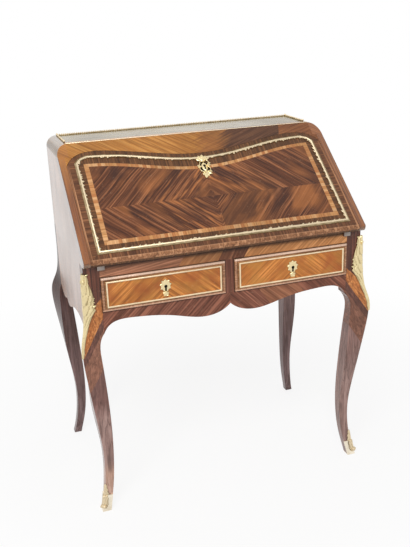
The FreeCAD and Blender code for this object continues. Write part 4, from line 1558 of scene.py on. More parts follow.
DARK = Wood("dark_veneer", Grain((0.06, 0.022, 0.013), (0.13, 0.05, 0.03), (0.2, 0.082, 0.05)), UPRIGHT)
LIP = LipVeneer("pink_lip_veneer", Grain((0.27, 0.11, 0.045), (0.46, 0.22, 0.11), (0.66, 0.37, 0.22), 260.0),
                dull=0.2, gloss=0.4, varnish=0.25)
LINING = Wood("lining_wood", Grain((0.15, 0.075, 0.03), (0.35, 0.205, 0.1), (0.57, 0.38, 0.21), 48.0),
              (0.0, 0.0, 90.0), dull=0.5)
BACK = Wood("back_boards", Grain((0.12, 0.07, 0.038), (0.19, 0.115, 0.062), (0.26, 0.16, 0.09), 45.0),
            UPRIGHT, dull=0.55)
INNER = Wood("inner_veneer", Grain((0.2, 0.085, 0.035), (0.31, 0.14, 0.06), (0.4, 0.2, 0.09), 80.0))
LEATHER = Leather()


# Sub-assemblies


@dataclass
class SubAssembly:
    """Part of the desk that builds its own pieces and dresses its own nodes."""

    body: str = "carcase"

    def keep(self, piece: Piece, slot: Slot, finish: Finish | None, *nodes: str) -> None:
        """Finishes a new piece.

        Args:
            piece: The piece, in its place.
            slot: Slot of the record meant for it; not used.
            finish: Its finish, or None where its parts are already dressed.
            nodes: Nodes that it stands for.
        """
        if finish is not None:
            piece.data.materials.clear()
            piece.data.materials.append(finish.material())
        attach(piece, self.body)
        if nodes:
            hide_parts(*nodes)
        log.info("%s: %d faces on %s", piece.name, len(piece.data.polygons), self.body)

    def dress(self, finish: Finish, *nodes: str) -> None:
        """Gives nodes of the frame a finish.

        Args:
            finish: The finish.
            nodes: Names of the nodes.
        """
        for node in nodes:
            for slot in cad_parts[node].material_slots:
                slot.material = finish.material()
            log.info("%s: %s", node, finish.name)


@dataclass
class KeyPlate(SubAssembly):
    """Cast key plate with a keyhole: scalloped discs and leaves, modelled flat and then put on its carrier.

    Args:
        name: Name of the piece.
        eye: Middle of the keyhole's round eye.
        radius: Radius of the eye.
        slit: How far the keyhole reaches below its eye.
        shadow: Half the width and height of the black sheet of painted shade behind it.
        discs: Each disc's middle, half sizes, points, notch and thickness; the first has the keyhole.
        sprigs: Each leaf's stem, tip and height off the carrier.
        wide: Breadth of a leaf as a share of its length.
        dome: Heights of a disc from its middle to its edge, as shares of its radius and thickness.
    """

    name: str = "key_plate"
    eye: Flat = (0.0, 0.0)
    radius: float = 0.0042
    slit: float = 0.0122
    shadow: Flat = (0.0056, 0.0112)
    discs: tuple[Disc, ...] = (((0.0005, 0.0030), (0.0162, 0.0182), 9, 0.24, 0.0022),
                               ((0.0005, -0.0186), (0.0088, 0.0080), 5, 0.2, 0.0020))
    sprigs: tuple[Sprig, ...] = (((0.0, -0.0128), (0.0, -0.0253), 0.0016),
                                 ((0.0, -0.0128), (0.005849, -0.020286), 0.0016),
                                 ((0.0, -0.0128), (-0.005849, -0.020286), 0.0016))
    wide: float = 0.5
    dome: tuple[Flat, ...] = ((0, 1.35), (0.3, 1.3), (0.55, 1.1), (0.66, 0.75), (0.8, 1.3),
                              (0.93, 1.0), (1, 0.35))

    def disc(self, middle: Flat, radii: Flat, points: int, notch: float, thick: float) -> Piece:
        """Domed disc with a raised, fluted rim.

        Args:
            middle: Place of its middle.
            radii: Half its width and half its height.
            points: Points round its edge.
            notch: Depth of the notches between the points, as a share of its radius.
            thick: Thickness under the rim.

        Returns:
            The disc as a closed mesh, flat underneath.
        """
        bpy.ops.mesh.primitive_uv_sphere_add(segments=88, ring_count=24, radius=1)

        def press(spots: np.ndarray) -> np.ndarray:
            """Flattens the ball's lower half and presses the dome, rim and flutes into its upper half.

            Args:
                spots: Points of the ball.

            Returns:
                Their new places.
            """
            reach = np.hypot(spots[:, 0], spots[:, 1])
            angle = np.arctan2(spots[:, 1], spots[:, 0])
            dent = np.abs(np.sin(points * (angle - math.pi / 2) / 2))
            edge = 1 - notch * dent * reach ** 2
            rise = np.interp(reach, *np.array(self.dome).T)
            rise = thick * rise * (1 - 0.45 * dent ** 0.7 * np.clip((reach - 0.62) / 0.2, 0, 1))
            return np.stack([middle[0] + edge * spots[:, 0] * radii[0],
                             middle[1] + edge * spots[:, 1] * radii[1],
                             np.where(spots[:, 2] > -0.05, rise, 0.0)], axis=1)

        return reshape(added(self.name), press)

    def pierce(self, plate: Piece) -> Piece:
        """Cuts the keyhole.

        Args:
            plate: The flat plate, which is cut through.

        Returns:
            The black sheet of painted shade behind the keyhole.
        """
        x, y = self.eye
        bpy.ops.mesh.primitive_cylinder_add(vertices=28, radius=self.radius, depth=0.03, location=(x, y, 0))
        hole = settle(added(self.name + "_eye"))
        bpy.ops.mesh.primitive_cube_add(size=1, location=(x, y - self.slit / 2, 0))
        slit = added(self.name + "_slit")
        slit.scale = (1.1 * self.radius, self.slit, 0.029)
        cut(hole, "UNION", settle(slit))
        cut(plate, "DIFFERENCE", hole)
        # Painted shade: a black sheet behind the keyhole, wide enough on the fall's plate to lie behind its
        # openwork.
        bpy.ops.mesh.primitive_circle_add(vertices=24, radius=1, fill_type="NGON")
        dark = added(self.name + "_dark")
        dark.scale = (*self.shadow, 1)
        dark.location = (x, y + (self.radius - self.slit) / 2, 0.0001)
        modified(settle(dark), "SOLIDIFY", thickness=0.0003, offset=1.0)
        dark.data.materials.append(KEYHOLE_SHADE.material())
        return dark

    def leaves(self) -> list[Piece]:
        """Leaves on the plate.

        Returns:
            The leaves.
        """
        unit = leaf(self.name + "_leaf", 1.0, self.wide, 0.0022)
        pieces = []
        for stem, tip, height in self.sprigs:
            turn = Matrix.Rotation(math.atan2(tip[1] - stem[1], tip[0] - stem[0]), 4, "Z")
            length = math.dist(stem, tip)
            size = Matrix.Diagonal((length, length, 1, 1))
            pieces.append(copied(unit, Matrix.Translation((*stem, height)) @ turn @ size))
        bpy.data.objects.remove(unit)
        return pieces

    def parts(self) -> list[Piece]:
        """The plate that the keyhole is cut in, then the parts that lie on it or beside it."""
        return [self.disc(*sizes) for sizes in self.discs] + self.leaves()

    def build(self, matrix: Matrix, *nodes: str) -> None:
        """Models the plate and puts it on its carrier.

        Args:
            matrix: Place of the plate's middle, with +Z out of the carrier.
            nodes: Nodes that it stands for.
        """
        parts = self.parts()
        dark = self.pierce(parts[0])
        gilt = joined(self.name, parts)
        shade_relief(gilt, lambda spots: 0.2 + spots[:, 2] / 0.0026)
        gilt.data.materials.clear()
        gilt.data.materials.append(CARVED_GILT.material())
        whole = moved(joined(self.name, [gilt, dark]), matrix)
        self.keep(softened(whole), Slot.GILT, None, *nodes)


@dataclass
class FallKeyPlate(KeyPlate):
    """Larger openwork plate: a shield between scrolls, with a crest that rides over the moulding.

    Args:
        scrolls: Points along each scroll, and the radius of the curl at its end.
    """

    name: str = "fall_key_plate"
    eye: Flat = (0.0, 0.0090)
    radius: float = 0.0038
    slit: float = 0.0115
    shadow: Flat = (0.0128, 0.0178)
    discs: tuple[Disc, ...] = (((0.0, 0.0065), (0.0088, 0.0138), 2, 0.06, 0.0022),
                               ((-0.001, 0.0290), (0.0105, 0.0085), 7, 0.2, 0.0042),
                               ((0.002, -0.0150), (0.0085, 0.0080), 5, 0.2, 0.0022))
    sprigs: tuple[Sprig, ...] = (
        ((0.000, 0.0300), (0.001, 0.0450), 0.0042), ((-0.004, 0.0290), (-0.010, 0.0420), 0.0042),
        ((0.004, 0.0290), (0.011, 0.0400), 0.0042), ((-0.005, 0.0260), (-0.0185, 0.0330), 0.0040),
        ((0.006, 0.0270), (0.0165, 0.0320), 0.0040), ((-0.011, 0.0120), (-0.0205, 0.0095), 0.0012),
        ((-0.010, 0.0080), (-0.0190, 0.0035), 0.0012), ((0.010, 0.0150), (0.0190, 0.0175), 0.0012),
        ((0.010, 0.0105), (0.0180, 0.0095), 0.0012), ((0.006, -0.0130), (0.0135, -0.0210), 0.0014),
        ((0.009, -0.0090), (0.0160, -0.0130), 0.0012), ((-0.001, -0.0150), (-0.006, -0.0320), 0.0016),
        ((-0.004, -0.0130), (-0.0125, -0.0220), 0.0014), ((0.002, -0.0160), (0.004, -0.0270), 0.0016))
    wide: float = 0.62
    scrolls: tuple[tuple[tuple[Flat, ...], float], ...] = (
        (((0.003, 0.0290), (0.0105, 0.0245), (0.0140, 0.0165), (0.0118, 0.0095)), -0.0026),
        (((-0.004, 0.0270), (-0.0095, 0.0210), (-0.0120, 0.0140), (-0.0165, 0.0095)), 0.0022),
        (((-0.0090, 0.0075), (-0.0152, 0.0015), (-0.0140, -0.0075), (-0.0050, -0.0135)), 0.0024),
        (((0.0085, 0.0065), (0.0125, -0.0010), (0.0120, -0.0085), (0.0085, -0.0125)), -0.0024))

    def scroll(self, points: Sequence[Flat], curl: float) -> Piece:
        """Band along a bent line that ends in a curl.

        Args:
            points: Points that the line passes through.
            curl: Radius of the curl, below zero where it winds clockwise.

        Returns:
            The band, lifted off the carrier.
        """
        line = flowing(points, 6)
        end = Vector(line[-1]) - Vector(line[-2])
        facing = math.atan2(end.y, end.x)
        turn = 1 if curl > 0 else -1
        middle = Vector(line[-1]) + Vector((-math.sin(facing), math.cos(facing))) * curl
        spiral = volute(abs(curl), 0.35 * abs(curl), turn * 0.85, 14, facing - turn * math.pi / 2)
        tail = [tuple(middle + Vector(spot)) for spot in spiral[1:]]
        band = ribbon(self.name + "_scroll", line + tail, 0.0013, 0.0010)
        return moved(band, Matrix.Translation((0, 0, 0.0022)))

    def parts(self) -> list[Piece]:
        """The shield that the keyhole is cut in, then the hub, knot, leaves and scrolls."""
        return super().parts() + [self.scroll(*bend) for bend in self.scrolls]


@dataclass
class Lock(SubAssembly):
    """Lock case with a raised cap and four screws.

    Args:
        name: Name of the piece.
        size: Width, height and depth.
        cap: Half the cap's width and height, as shares of the size.
        screws: Places of the screws from the middle, as shares of the size.
    """

    name: str = "lock"
    size: Triple = (0.046, 0.034, 0.009)
    cap: Flat = (0.36, 0.4)
    screws: tuple[Flat, ...] = ((-0.43, -0.38), (0.43, -0.38), (-0.43, 0.38), (0.43, 0.38))

    def build(self, matrix: Matrix, *nodes: str) -> None:
        """Models the lock flat on its carrier and puts it in place.

        Args:
            matrix: Place of the lock's middle, with +Z out of the wood.
            nodes: Nodes that it stands for.
        """
        wide, tall, deep = self.size
        half_x, half_y = self.cap[0] * wide, self.cap[1] * tall
        parts = [block(self.name, (-wide / 2, -tall / 2, 0), (wide / 2, tall / 2, deep - 0.0012), 0.0006),
                 block(self.name + "_cap", (-half_x, -half_y, 0.002),
                       (half_x, half_y, deep - 0.0003), 0.0008)]
        for x, y in self.screws:
            turn = Matrix.Rotation(7 * x + 3 * y, 4, "Z")
            parts.append(screw(self.name + "_screw", (x * wide, y * tall, deep - 0.001), 0.0016, turn))
        whole = moved(joined(self.name, parts), matrix)
        self.keep(softened(whole, 30), Slot.STEEL, STEEL, *nodes)


@dataclass
class Carcase(SubAssembly):
    """Fixed woodwork: its finishes only."""

    def build(self) -> None:
        """Dresses the fixed nodes."""
        for side in Side:
            self.dress(LEG, f"front_{side.word}_leg")
            self.dress(BACK_LEG, f"back_{side.word}_leg")
            self.dress(SIDE, f"{side.word}_side_panel")
            self.dress(ORANGE if side is Side.LEFT else RED, f"{side.word}_shoulder")
            self.dress(LINING, f"{side.word}_loper_guide")
        self.dress(TOP, "top_board")
        self.dress(FASCIA, "fascia_rail")
        self.dress(RAIL, "drawer_rail")
        self.dress(POST, "drawer_muntin")
        self.dress(APRON, "front_apron")
        self.dress(LINING, "drawer_floor", "drawer_divider")
        self.dress(BACK, "back_panel")
        self.dress(INNER, "writing_board", "nest_shelf", "nest_partitions")
        self.dress(BRASS, "pivot_bushes")


@dataclass
class TopTrim(SubAssembly):
    """Low beaded gallery round the top, and the gilt line at its front edge."""

    half: float = 0.3415
    front: float = 0.0712
    back: float = 0.1925
    top: float = 0.930
    section: tuple[Flat, ...] = ((-0.0015, 0.0), (0.0015, 0.0), (0.0015, 0.0012), (0.0009, 0.0022),
                                 (-0.0009, 0.0022), (-0.0015, 0.0012))
    bead: float = 0.0019
    bead_up: float = 0.0031
    pitch: float = 0.0052
    finial: Triple = (1.6, 1.6, 1.7)
    finial_up: float = 0.0034

    def gallery(self) -> Piece:
        """Rail with a row of beads and a finial at each corner.

        Returns:
            The gallery as one piece.
        """
        path = [(-self.half, self.front), (-self.half, self.back), (self.half, self.back),
                (self.half, self.front)]
        rail = swept("gilt_gallery", path, self.section, False)
        moved(rail, Matrix.Translation((0, 0, self.top)))
        bpy.ops.mesh.primitive_uv_sphere_add(segments=8, ring_count=5, radius=self.bead)
        unit = added("gallery_bead")
        beads = []
        for start, end in zip(path, path[1:]):
            for spot, _ in spaced([start, end], self.pitch):
                beads.append(copied(unit, Matrix.Translation((*spot, self.top + self.bead_up))))
        for spot in path:
            size = Matrix.Diagonal((*self.finial, 1))
            beads.append(copied(unit, Matrix.Translation((*spot, self.top + self.finial_up)) @ size))
        bpy.data.objects.remove(unit)
        whole = joined("gilt_gallery", [rail] + beads)
        shade_relief(whole, lambda spots: 0.15 + (spots[:, 2] - self.top) / 0.005)
        return softened(whole, 50)

    def build(self) -> None:
        """Models the gallery and the front line."""
        self.keep(self.gallery(), Slot.GILT, PALE_GILT, "gallery")
        low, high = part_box("top_edge_strip")
        line = block("gilt_edge_line", low, high, 0.0007)
        self.keep(softened(line), Slot.GILT, PLAIN_GILT, "top_edge_strip")


@dataclass
class LegMounts(SubAssembly):
    """Gilt leaves over a front leg's outer corner: a knee mount, and a foot mount's leaf and scroll.

    Args:
        side: Side of the desk.
        leg_x: Outer corner of the leg, for heights where no leg is met.
        leg_y: The same, from front to back.
        knee_edge: Heights, from the top down, with the knee mount's reach over each face.
        foot_edge: The same for the foot mount's leaf.
        knee_leaves: Each leaf's height, stem's reach, direction in degrees and length.
        knee_relief: Height of the knee mount's relief, and the distance from one lobe to the next.
        foot_relief: The same for the foot mount's leaf.
        knee_scroll: Height, radius, half breadth, stand-out and phase of the knee's volute.
        toe_scroll: The same for the toe's.
        grid: Rows and columns of a leafy patch.
    """

    side: Side = Side.RIGHT
    leg_x: float = 0.3535
    leg_y: float = -0.204
    knee_edge: tuple[Flat, ...] = (
        (0.666, 0.0030), (0.661, 0.0080), (0.654, 0.0096), (0.646, 0.0094), (0.637, 0.0124), (0.626, 0.0168),
        (0.614, 0.0198), (0.604, 0.0214), (0.599, 0.0186), (0.593, 0.0210), (0.587, 0.0182), (0.580, 0.0252),
        (0.574, 0.0214), (0.568, 0.0186), (0.560, 0.0150), (0.552, 0.0124), (0.544, 0.0100), (0.536, 0.0085),
        (0.526, 0.0070), (0.514, 0.0061), (0.502, 0.0055), (0.488, 0.0050), (0.472, 0.0046), (0.458, 0.0020))
    foot_edge: tuple[Flat, ...] = (
        (0.074, 0.0015), (0.069, 0.0042), (0.064, 0.0036), (0.059, 0.0068), (0.054, 0.0060), (0.048, 0.0096),
        (0.043, 0.0090), (0.037, 0.0118), (0.030, 0.0110), (0.022, 0.0124), (0.014, 0.0100))
    knee_leaves: tuple[tuple[float, float, float, float], ...] = (
        (0.660, 0.003, 25, 0.010), (0.648, 0.004, -20, 0.009), (0.604, 0.0145, -20, 0.010),
        (0.592, 0.0145, -8, 0.010), (0.578, 0.0155, 24, 0.013))
    knee_relief: Flat = (0.0078, 0.026)
    foot_relief: Flat = (0.0034, 0.018)
    knee_scroll: tuple[float, ...] = (0.6475, 0.0066, 0.0040, 0.0034, math.pi)
    toe_scroll: tuple[float, ...] = (0.0125, 0.0064, 0.0060, -0.0025, 0.0)
    grid: tuple[int, int] = (132, 29)

    @property
    def away(self) -> Vector:
        """Level direction out of the leg's corner."""
        return Vector((self.side.value, -1, 0)).normalized()

    def skin(self) -> BVHTree:
        """Surface that the mounts lie on: the leg and its shoe.

        Returns:
            The surface, for casting rays.
        """
        spots: list[Vector] = []
        faces: list[tuple[int, ...]] = []
        for node in (f"front_{self.side.word}_leg", f"{self.side.word}_sabot"):
            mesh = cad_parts[node].data
            start = len(spots)
            spots += [v.co.copy() for v in mesh.vertices]
            faces += [tuple(start + i for i in face.vertices) for face in mesh.polygons]
        return BVHTree.FromPolygons(spots, faces)

    def corner(self, tree: BVHTree, height: float) -> Vector:
        """Outer corner of the leg.

        Args:
            tree: Surface that the mounts lie on.
            height: Height above the floor.

        Returns:
            The corner at that height.
        """
        sign = self.side.value
        start = Vector((sign * (self.leg_x + 0.3), self.leg_y - 0.3, height))
        hit = tree.ray_cast(start, -self.away)[0]
        return hit if hit is not None else Vector((sign * self.leg_x, self.leg_y, height))

    def on_face(self, tree: BVHTree, corner: Vector, reach: float) -> Vector:
        """Point on the leg beside its corner.

        Args:
            tree: Surface that the mounts lie on.
            corner: The leg's corner at the point's height.
            reach: Distance from the corner, on the front or, below zero, on the side.

        Returns:
            The point, or the corner where the leg isn't met.
        """
        sign = self.side.value
        step = max(abs(reach), 0.0002)
        if reach >= 0:
            start, ray = corner + Vector((-sign * step, -0.1, 0)), Vector((0, 1, 0))
        else:
            start, ray = corner + Vector((sign * 0.1, step, 0)), Vector((-sign, 0, 0))
        hit = tree.ray_cast(start, ray)[0]
        return hit if hit is not None else corner

    def leafwork(self, name: str, edge: Sequence[Flat], high: float, pitch: float) -> Piece:
        """Leafy patch over the corner.

        Args:
            name: Name of the piece.
            edge: Heights, from the top down, with the mount's reach over each face.
            high: Height of the relief.
            pitch: Distance from one lobe to the next.

        Returns:
            The patch as a closed shell.
        """
        rows, columns = self.grid
        tree, sign = self.skin(), self.side.value
        bpy.ops.mesh.primitive_grid_add(x_subdivisions=columns - 1, y_subdivisions=rows - 1, size=2)
        piece = added(name)
        heights, reaches = np.array(edge)[::-1].T
        top, low = heights[-1], heights[0]
        relief = np.zeros(len(piece.data.vertices))
        spots = np.empty((len(piece.data.vertices), 3))
        for index, vertex in enumerate(piece.data.vertices):
            share, level = vertex.co.x, (vertex.co.y + 1) / 2
            height = low + (top - low) * level
            reach = share * float(np.interp(height, heights, reaches))
            corner = self.corner(tree, height - 0.35 * abs(reach))
            lean = min(abs(reach) / 0.006, 1.0)
            face = Vector((0, -1, 0)) if reach >= 0 else Vector((sign, 0, 0))
            out = (self.away * (1 - lean) + face * lean).normalized()
            lobe = ((top - height) / pitch) % 1.0
            rib = abs(math.sin(math.pi * (2.3 * abs(share) + 0.6 * lobe))) ** 0.7
            spine = math.exp(-(reach / 0.0030) ** 2)
            rim = 1 - abs(share) ** 6
            swell = float(np.interp(level, (0, 0.3, 0.55, 0.85, 1), (0.3, 0.42, 0.85, 1.0, 0.7)))
            rise = (0.3 + 0.4 * rib * (1 - 0.6 * spine) + 0.45 * spine) * (0.35 + 0.65 * rim) * swell
            relief[index] = (0.36 + 0.64 * rib) * (0.45 + 0.55 * rim)
            spots[index] = self.on_face(tree, corner, reach) + out * (0.0006 + high * rise)
        reshape(piece, lambda _: spots)
        shade_relief(piece, lambda _: relief)
        if sign < 0:
            with editing(piece, everything=True):
                bpy.ops.mesh.flip_normals()
        return modified(piece, "SOLIDIFY", thickness=0.0009, offset=-1.0)

    def spray(self, name: str, spots: Sequence[tuple[float, float, float, float]]) -> list[Piece]:
        """Leaves that spring from a mount's edges, the same on both faces.

        Args:
            name: Name of the pieces.
            spots: Each leaf's height, stem's reach over the face, direction in degrees and length.

        Returns:
            The leaves.
        """
        tree, sign = self.skin(), self.side.value
        unit = leaf(name + "_leaf", 1.0, 0.46, 0.0026)
        front, side = Vector((0, -1, 0)), Vector((sign, 0, 0))
        pieces = []
        for height, reach, degrees, length in spots:
            angle = math.radians(degrees)
            for inward, out, way in ((-side, front, reach), (-front, side, -reach)):
                spot = self.on_face(tree, self.corner(tree, height), way)
                along = inward * math.cos(angle) + Vector((0, 0, 1)) * math.sin(angle)
                turn = Matrix((along, out.cross(along), out)).transposed().to_4x4()
                size = Matrix.Diagonal((length, length, 1, 1))
                pieces.append(copied(unit, Matrix.Translation(spot + out * 0.0013) @ turn @ size))
        bpy.data.objects.remove(unit)
        for piece in pieces:
            shade_relief(piece, lambda points: 0.35 + 0.5 * points[:, 2] / 0.002)
        return pieces

    def scroll(self, name: str, height: float, radius: float, half: float, out: float, phase: float) -> Piece:
        """Curled volute that stands out from the corner, in the upright plane through it.

        Args:
            name: Name of the piece.
            height: Height of its middle.
            radius: Its outer radius.
            half: Half its breadth.
            out: How far its middle stands out from the corner.
            phase: Direction of its outer end from its middle, in radians.

        Returns:
            The volute.
        """
        line = volute(radius, 0.22 * radius, 1.25, 36, phase)
        piece = ribbon(name, line, half, 0.22 * radius)
        upward = Vector((0, 0, 1))
        turn = Matrix((self.away, upward, self.away.cross(upward))).transposed().to_4x4()
        middle = self.corner(self.skin(), height) + self.away * out
        outward(moved(piece, Matrix.Translation(middle) @ turn))
        return shade_relief(piece, lambda spots: np.full(len(spots), 0.75))

    def build(self) -> None:
        """Models the knee mount and the foot mount's dress."""
        word = self.side.word
        knee = self.leafwork(f"{word}_knee_mount", self.knee_edge, *self.knee_relief)
        head = self.scroll(f"{word}_knee_scroll", *self.knee_scroll)
        whole = joined(f"{word}_knee_mount", [knee, head] + self.spray(f"{word}_knee", self.knee_leaves))
        self.keep(softened(whole, 60), Slot.GILT, CARVED_GILT, f"{word}_chute")
        self.dress(SHOE_GILT, f"{word}_sabot")
        leafy = self.leafwork(f"{word}_foot_leaf", self.foot_edge, *self.foot_relief)
        toe = self.scroll(f"{word}_toe_scroll", *self.toe_scroll)
        foot = joined(f"{word}_foot_leaf", [leafy, toe])
        self.keep(softened(foot, 60), Slot.GILT, PALE_GILT)


@dataclass
class Fall(SubAssembly):
    """Slanted fall: marquetry, gilt moulding, key plate, leather and lock."""

    body: str = "fall"
    half: float = 0.3290
    low: float = 0.0235
    corner: float = 0.3013
    top: float = 0.3215
    section: tuple[Flat, ...] = (
        (-0.0045, 0.0), (0.0045, 0.0), (0.0045, 0.0016), (0.0038, 0.0024), (0.0034, 0.0036),
        (0.0022, 0.0045), (0.0006, 0.0045), (-0.0008, 0.0032), (-0.0014, 0.0015), (-0.0045, 0.0011))
    leaf_size: Triple = (0.0088, 0.0068, 0.0030)
    leaf_pitch: float = 0.0054
    plate_up: float = 0.2435
    lock_up: float = 0.272
    lock_size: Triple = (0.064, 0.042, 0.012)

    def on_slope(self, up: float, out: float) -> Matrix:
        """Place on the fall: up its slope, and out from the pivot's plane."""
        return SLOPE.matrix() @ Matrix.Translation((0, up, out))

    def on_inside(self, up: float) -> Matrix:
        """Place on the fall's inner face, with +Z out of it."""
        return self.on_slope(up, SLOPE.back) @ Matrix.Rotation(math.pi, 4, "Y")

    def moulding(self) -> Piece:
        """Gilt moulding: a bead with leaves that curl over its inner edge.

        Returns:
            The moulding as one piece.
        """
        path = [(-self.half, self.low), (self.half, self.low)]
        path += SLOPE.crest(self.half, self.corner, self.top)
        rib = swept("fall_gilt_moulding", path, self.section, True)
        unit = leaf("moulding_leaf", *self.leaf_size)
        dice = random.Random(7)
        leaves = []
        for spot, turn in spaced(path + path[:1], self.leaf_pitch):
            size = dice.choice((0.45, 0.6, 0.8, 0.95, 1.15))
            bend = turn + math.radians(dice.uniform(25, 85))
            start = Vector((*spot, 0.0012)) + Vector((-math.sin(turn), math.cos(turn), 0)) * -0.0004
            matrix = Matrix.Translation(start) @ Matrix.Rotation(bend, 4, "Z")
            leaves.append(copied(unit, matrix @ Matrix.Diagonal((size, dice.uniform(0.8, 1.2), 1, 1))))
        bpy.data.objects.remove(unit)
        whole = joined("fall_gilt_moulding", [rib] + leaves)
        shade_relief(whole, lambda spots: (spots[:, 2] - 0.0002) / 0.0032
                     - 0.35 * np.sin(420 * (spots[:, 0] + spots[:, 1])) ** 4)
        return softened(moved(whole, self.on_slope(0, SLOPE.face)), 45)

    def leather(self) -> Piece:
        """Leather let into the fall's inside, a little slack, with rolled edges.

        Returns:
            The leather.
        """
        wide, tall = 2 * LEATHER.half, LEATHER.high - LEATHER.low
        bpy.ops.mesh.primitive_grid_add(x_subdivisions=72, y_subdivisions=26, size=1)

        def slack(spots: np.ndarray) -> np.ndarray:
            """Spreads the grid to its size, with low waves inside and edges rolled down.

            Args:
                spots: Points of the grid.

            Returns:
                Their new places.
            """
            across, up = spots[:, 0] * wide, spots[:, 1] * tall
            edge = np.minimum(wide / 2 - np.abs(across), tall / 2 - np.abs(up))
            wave = np.sin(31 * across + 4 * np.sin(17 * up)) * np.cos(43 * up + 1.3)
            rise = (0.00078 + 0.00014 * wave) * np.clip(edge / 0.006, 0, 1) ** 0.4
            return np.stack([across, up, rise + 0.0001], axis=1)

        sheet = reshape(added("fall_leather_panel"), slack)
        modified(sheet, "SOLIDIFY", thickness=0.0004, offset=-1.0)
        return softened(moved(sheet, self.on_inside((LEATHER.low + LEATHER.high) / 2)))

    def build(self) -> None:
        """Models and dresses the fall."""
        self.dress(FALL, "fall_panel")
        self.dress(STEEL, "fall_pivot_pins")
        self.keep(self.moulding(), Slot.GILT, PALE_GILT, "fall_moulding")
        self.keep(self.leather(), Slot.LEATHER, LEATHER, "fall_leather")
        FallKeyPlate(self.body).build(self.on_slope(self.plate_up, SLOPE.face), "fall_escutcheon")
        lock = Lock(self.body, "fall_lock_case", self.lock_size)
        lock.build(self.on_inside(self.lock_up), "fall_lock")


@dataclass
class Drawer(SubAssembly):
    """Frieze drawer: veneered front, rounded lip, gilt string, key plate, lining and lock.

    Args:
        side: Side of the desk.
        lip: Breadth and height of the lip's section.
        string_size: Outer width and height of the string.
        string: Breadth and height of the string's section.
        face: Plane that the lip lies on.
        field: Plane of the raised field, which carries the string and the key plate.
        eye: Middle of the keyhole's eye, from the middle of the front.
    """

    side: Side = Side.RIGHT
    lip: Flat = (0.007, 0.005)
    string_size: Flat = (0.296, 0.068)
    string: Flat = (0.0046, 0.0026)
    face: float = -0.2215
    field: float = -0.2265
    eye: Flat = (0.0005, 0.0012)

    def on_front(self, depth: float) -> Matrix:
        """Place at the middle of the front, at a depth, with +Z towards the sitter."""
        spot = (self.side.value * DRAWER_MIDDLE[0], depth, DRAWER_MIDDLE[1])
        return Matrix.Translation(spot) @ Matrix.Rotation(math.pi / 2, 4, "X")

    def build(self) -> None:
        """Models and dresses the drawer."""
        word = self.side.word
        self.body = f"{word}_drawer"
        lip = frame_moulding(f"{word}_rounded_lip", (2 * LIP_HALF[0], 2 * LIP_HALF[1]), *self.lip, 5)
        moved(lip, self.on_front(self.face))
        self.keep(softened(lip), Slot.LIP, LIP, f"{word}_drawer_lip")
        string = frame_moulding(f"{word}_gilt_string", self.string_size, *self.string, 4)
        moved(string, self.on_front(self.field))
        self.keep(softened(string), Slot.GILT, PLAIN_GILT, f"{word}_drawer_string")
        plate = KeyPlate(self.body, f"{word}_key_plate", self.eye)
        plate.build(self.on_front(self.field), f"{word}_drawer_escutcheon")
        low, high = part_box(f"{word}_drawer_lock")
        spot = Matrix.Translation(((low.x + high.x) / 2, low.y, (low.z + high.z) / 2))
        inward = Matrix.Rotation(-math.pi / 2, 4, "X") @ Matrix.Rotation(math.pi, 4, "Z")
        Lock(self.body, f"{word}_lock_case").build(spot @ inward, f"{word}_drawer_lock")
        self.dress(DRAWER, f"{word}_drawer_front")
        self.dress(LINING, f"{word}_drawer_walls", f"{word}_drawer_bottom")


@dataclass
class Loper(SubAssembly):
    """Pull-out support: wooden bar with a metal end.

    Args:
        side: Side of the desk.
        screws: Each screw's place from the middle of the end, and the turn of its slot in radians.
    """

    side: Side = Side.RIGHT
    screws: tuple[Flat, ...] = ((-0.0055, 0.5), (0.0055, 1.9))

    def build(self) -> None:
        """Models and dresses the loper."""
        word = self.side.word
        self.body = f"{word}_loper"
        low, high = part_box(f"{word}_loper_plate")
        parts = [block(f"{word}_loper_end", low, high, 0.0006)]
        middle = (low + high) / 2
        for across, turn in self.screws:
            facing = Matrix.Rotation(math.pi / 2, 4, "X") @ Matrix.Rotation(turn, 4, "Z")
            spot = (middle.x + across, low.y, middle.z)
            parts.append(screw(f"{word}_loper_screw", spot, 0.0018, facing))
        whole = joined(f"{word}_loper_end", parts)
        self.keep(softened(whole, 30), Slot.STEEL, OLD_STEEL, f"{word}_loper_plate")
        self.dress(DARK, f"{word}_loper_bar")


@dataclass
class InnerDrawer(SubAssembly):
    """Small drawer of the nest: its finishes only."""

    side: Side = Side.RIGHT

    def build(self) -> None:
        """Dresses the drawer."""
        word = self.side.word
        self.body = f"{word}_inner_drawer"
        self.dress(INNER, f"{word}_inner_drawer_front")
        self.dress(LINING, f"{word}_inner_drawer_box")
        self.dress(BRASS, f"{word}_inner_drawer_knob")


@dataclass(frozen=True)
class Lamp:
    """Soft rectangular lamp that faces a point.

    Args:
        name: Name of the lamp.
        spot: Where it hangs.
        aim: Point that it faces.
        size: Width and height.
        power: In watts.
    """

    name: str
    spot: Triple
    aim: Triple
    size: Flat
    power: float

    def build(self) -> None:
        """Hangs the lamp."""
        data = bpy.data.lights.new(self.name, "AREA")
        data.shape = "RECTANGLE"
        data.size, data.size_y = self.size
        data.energy = self.power
        away = Vector(self.spot) - Vector(self.aim)
        turn = away.to_track_quat("Z", "Y").to_matrix().to_4x4()
        linked(self.name, data).matrix_world = Matrix.Translation(self.spot) @ turn


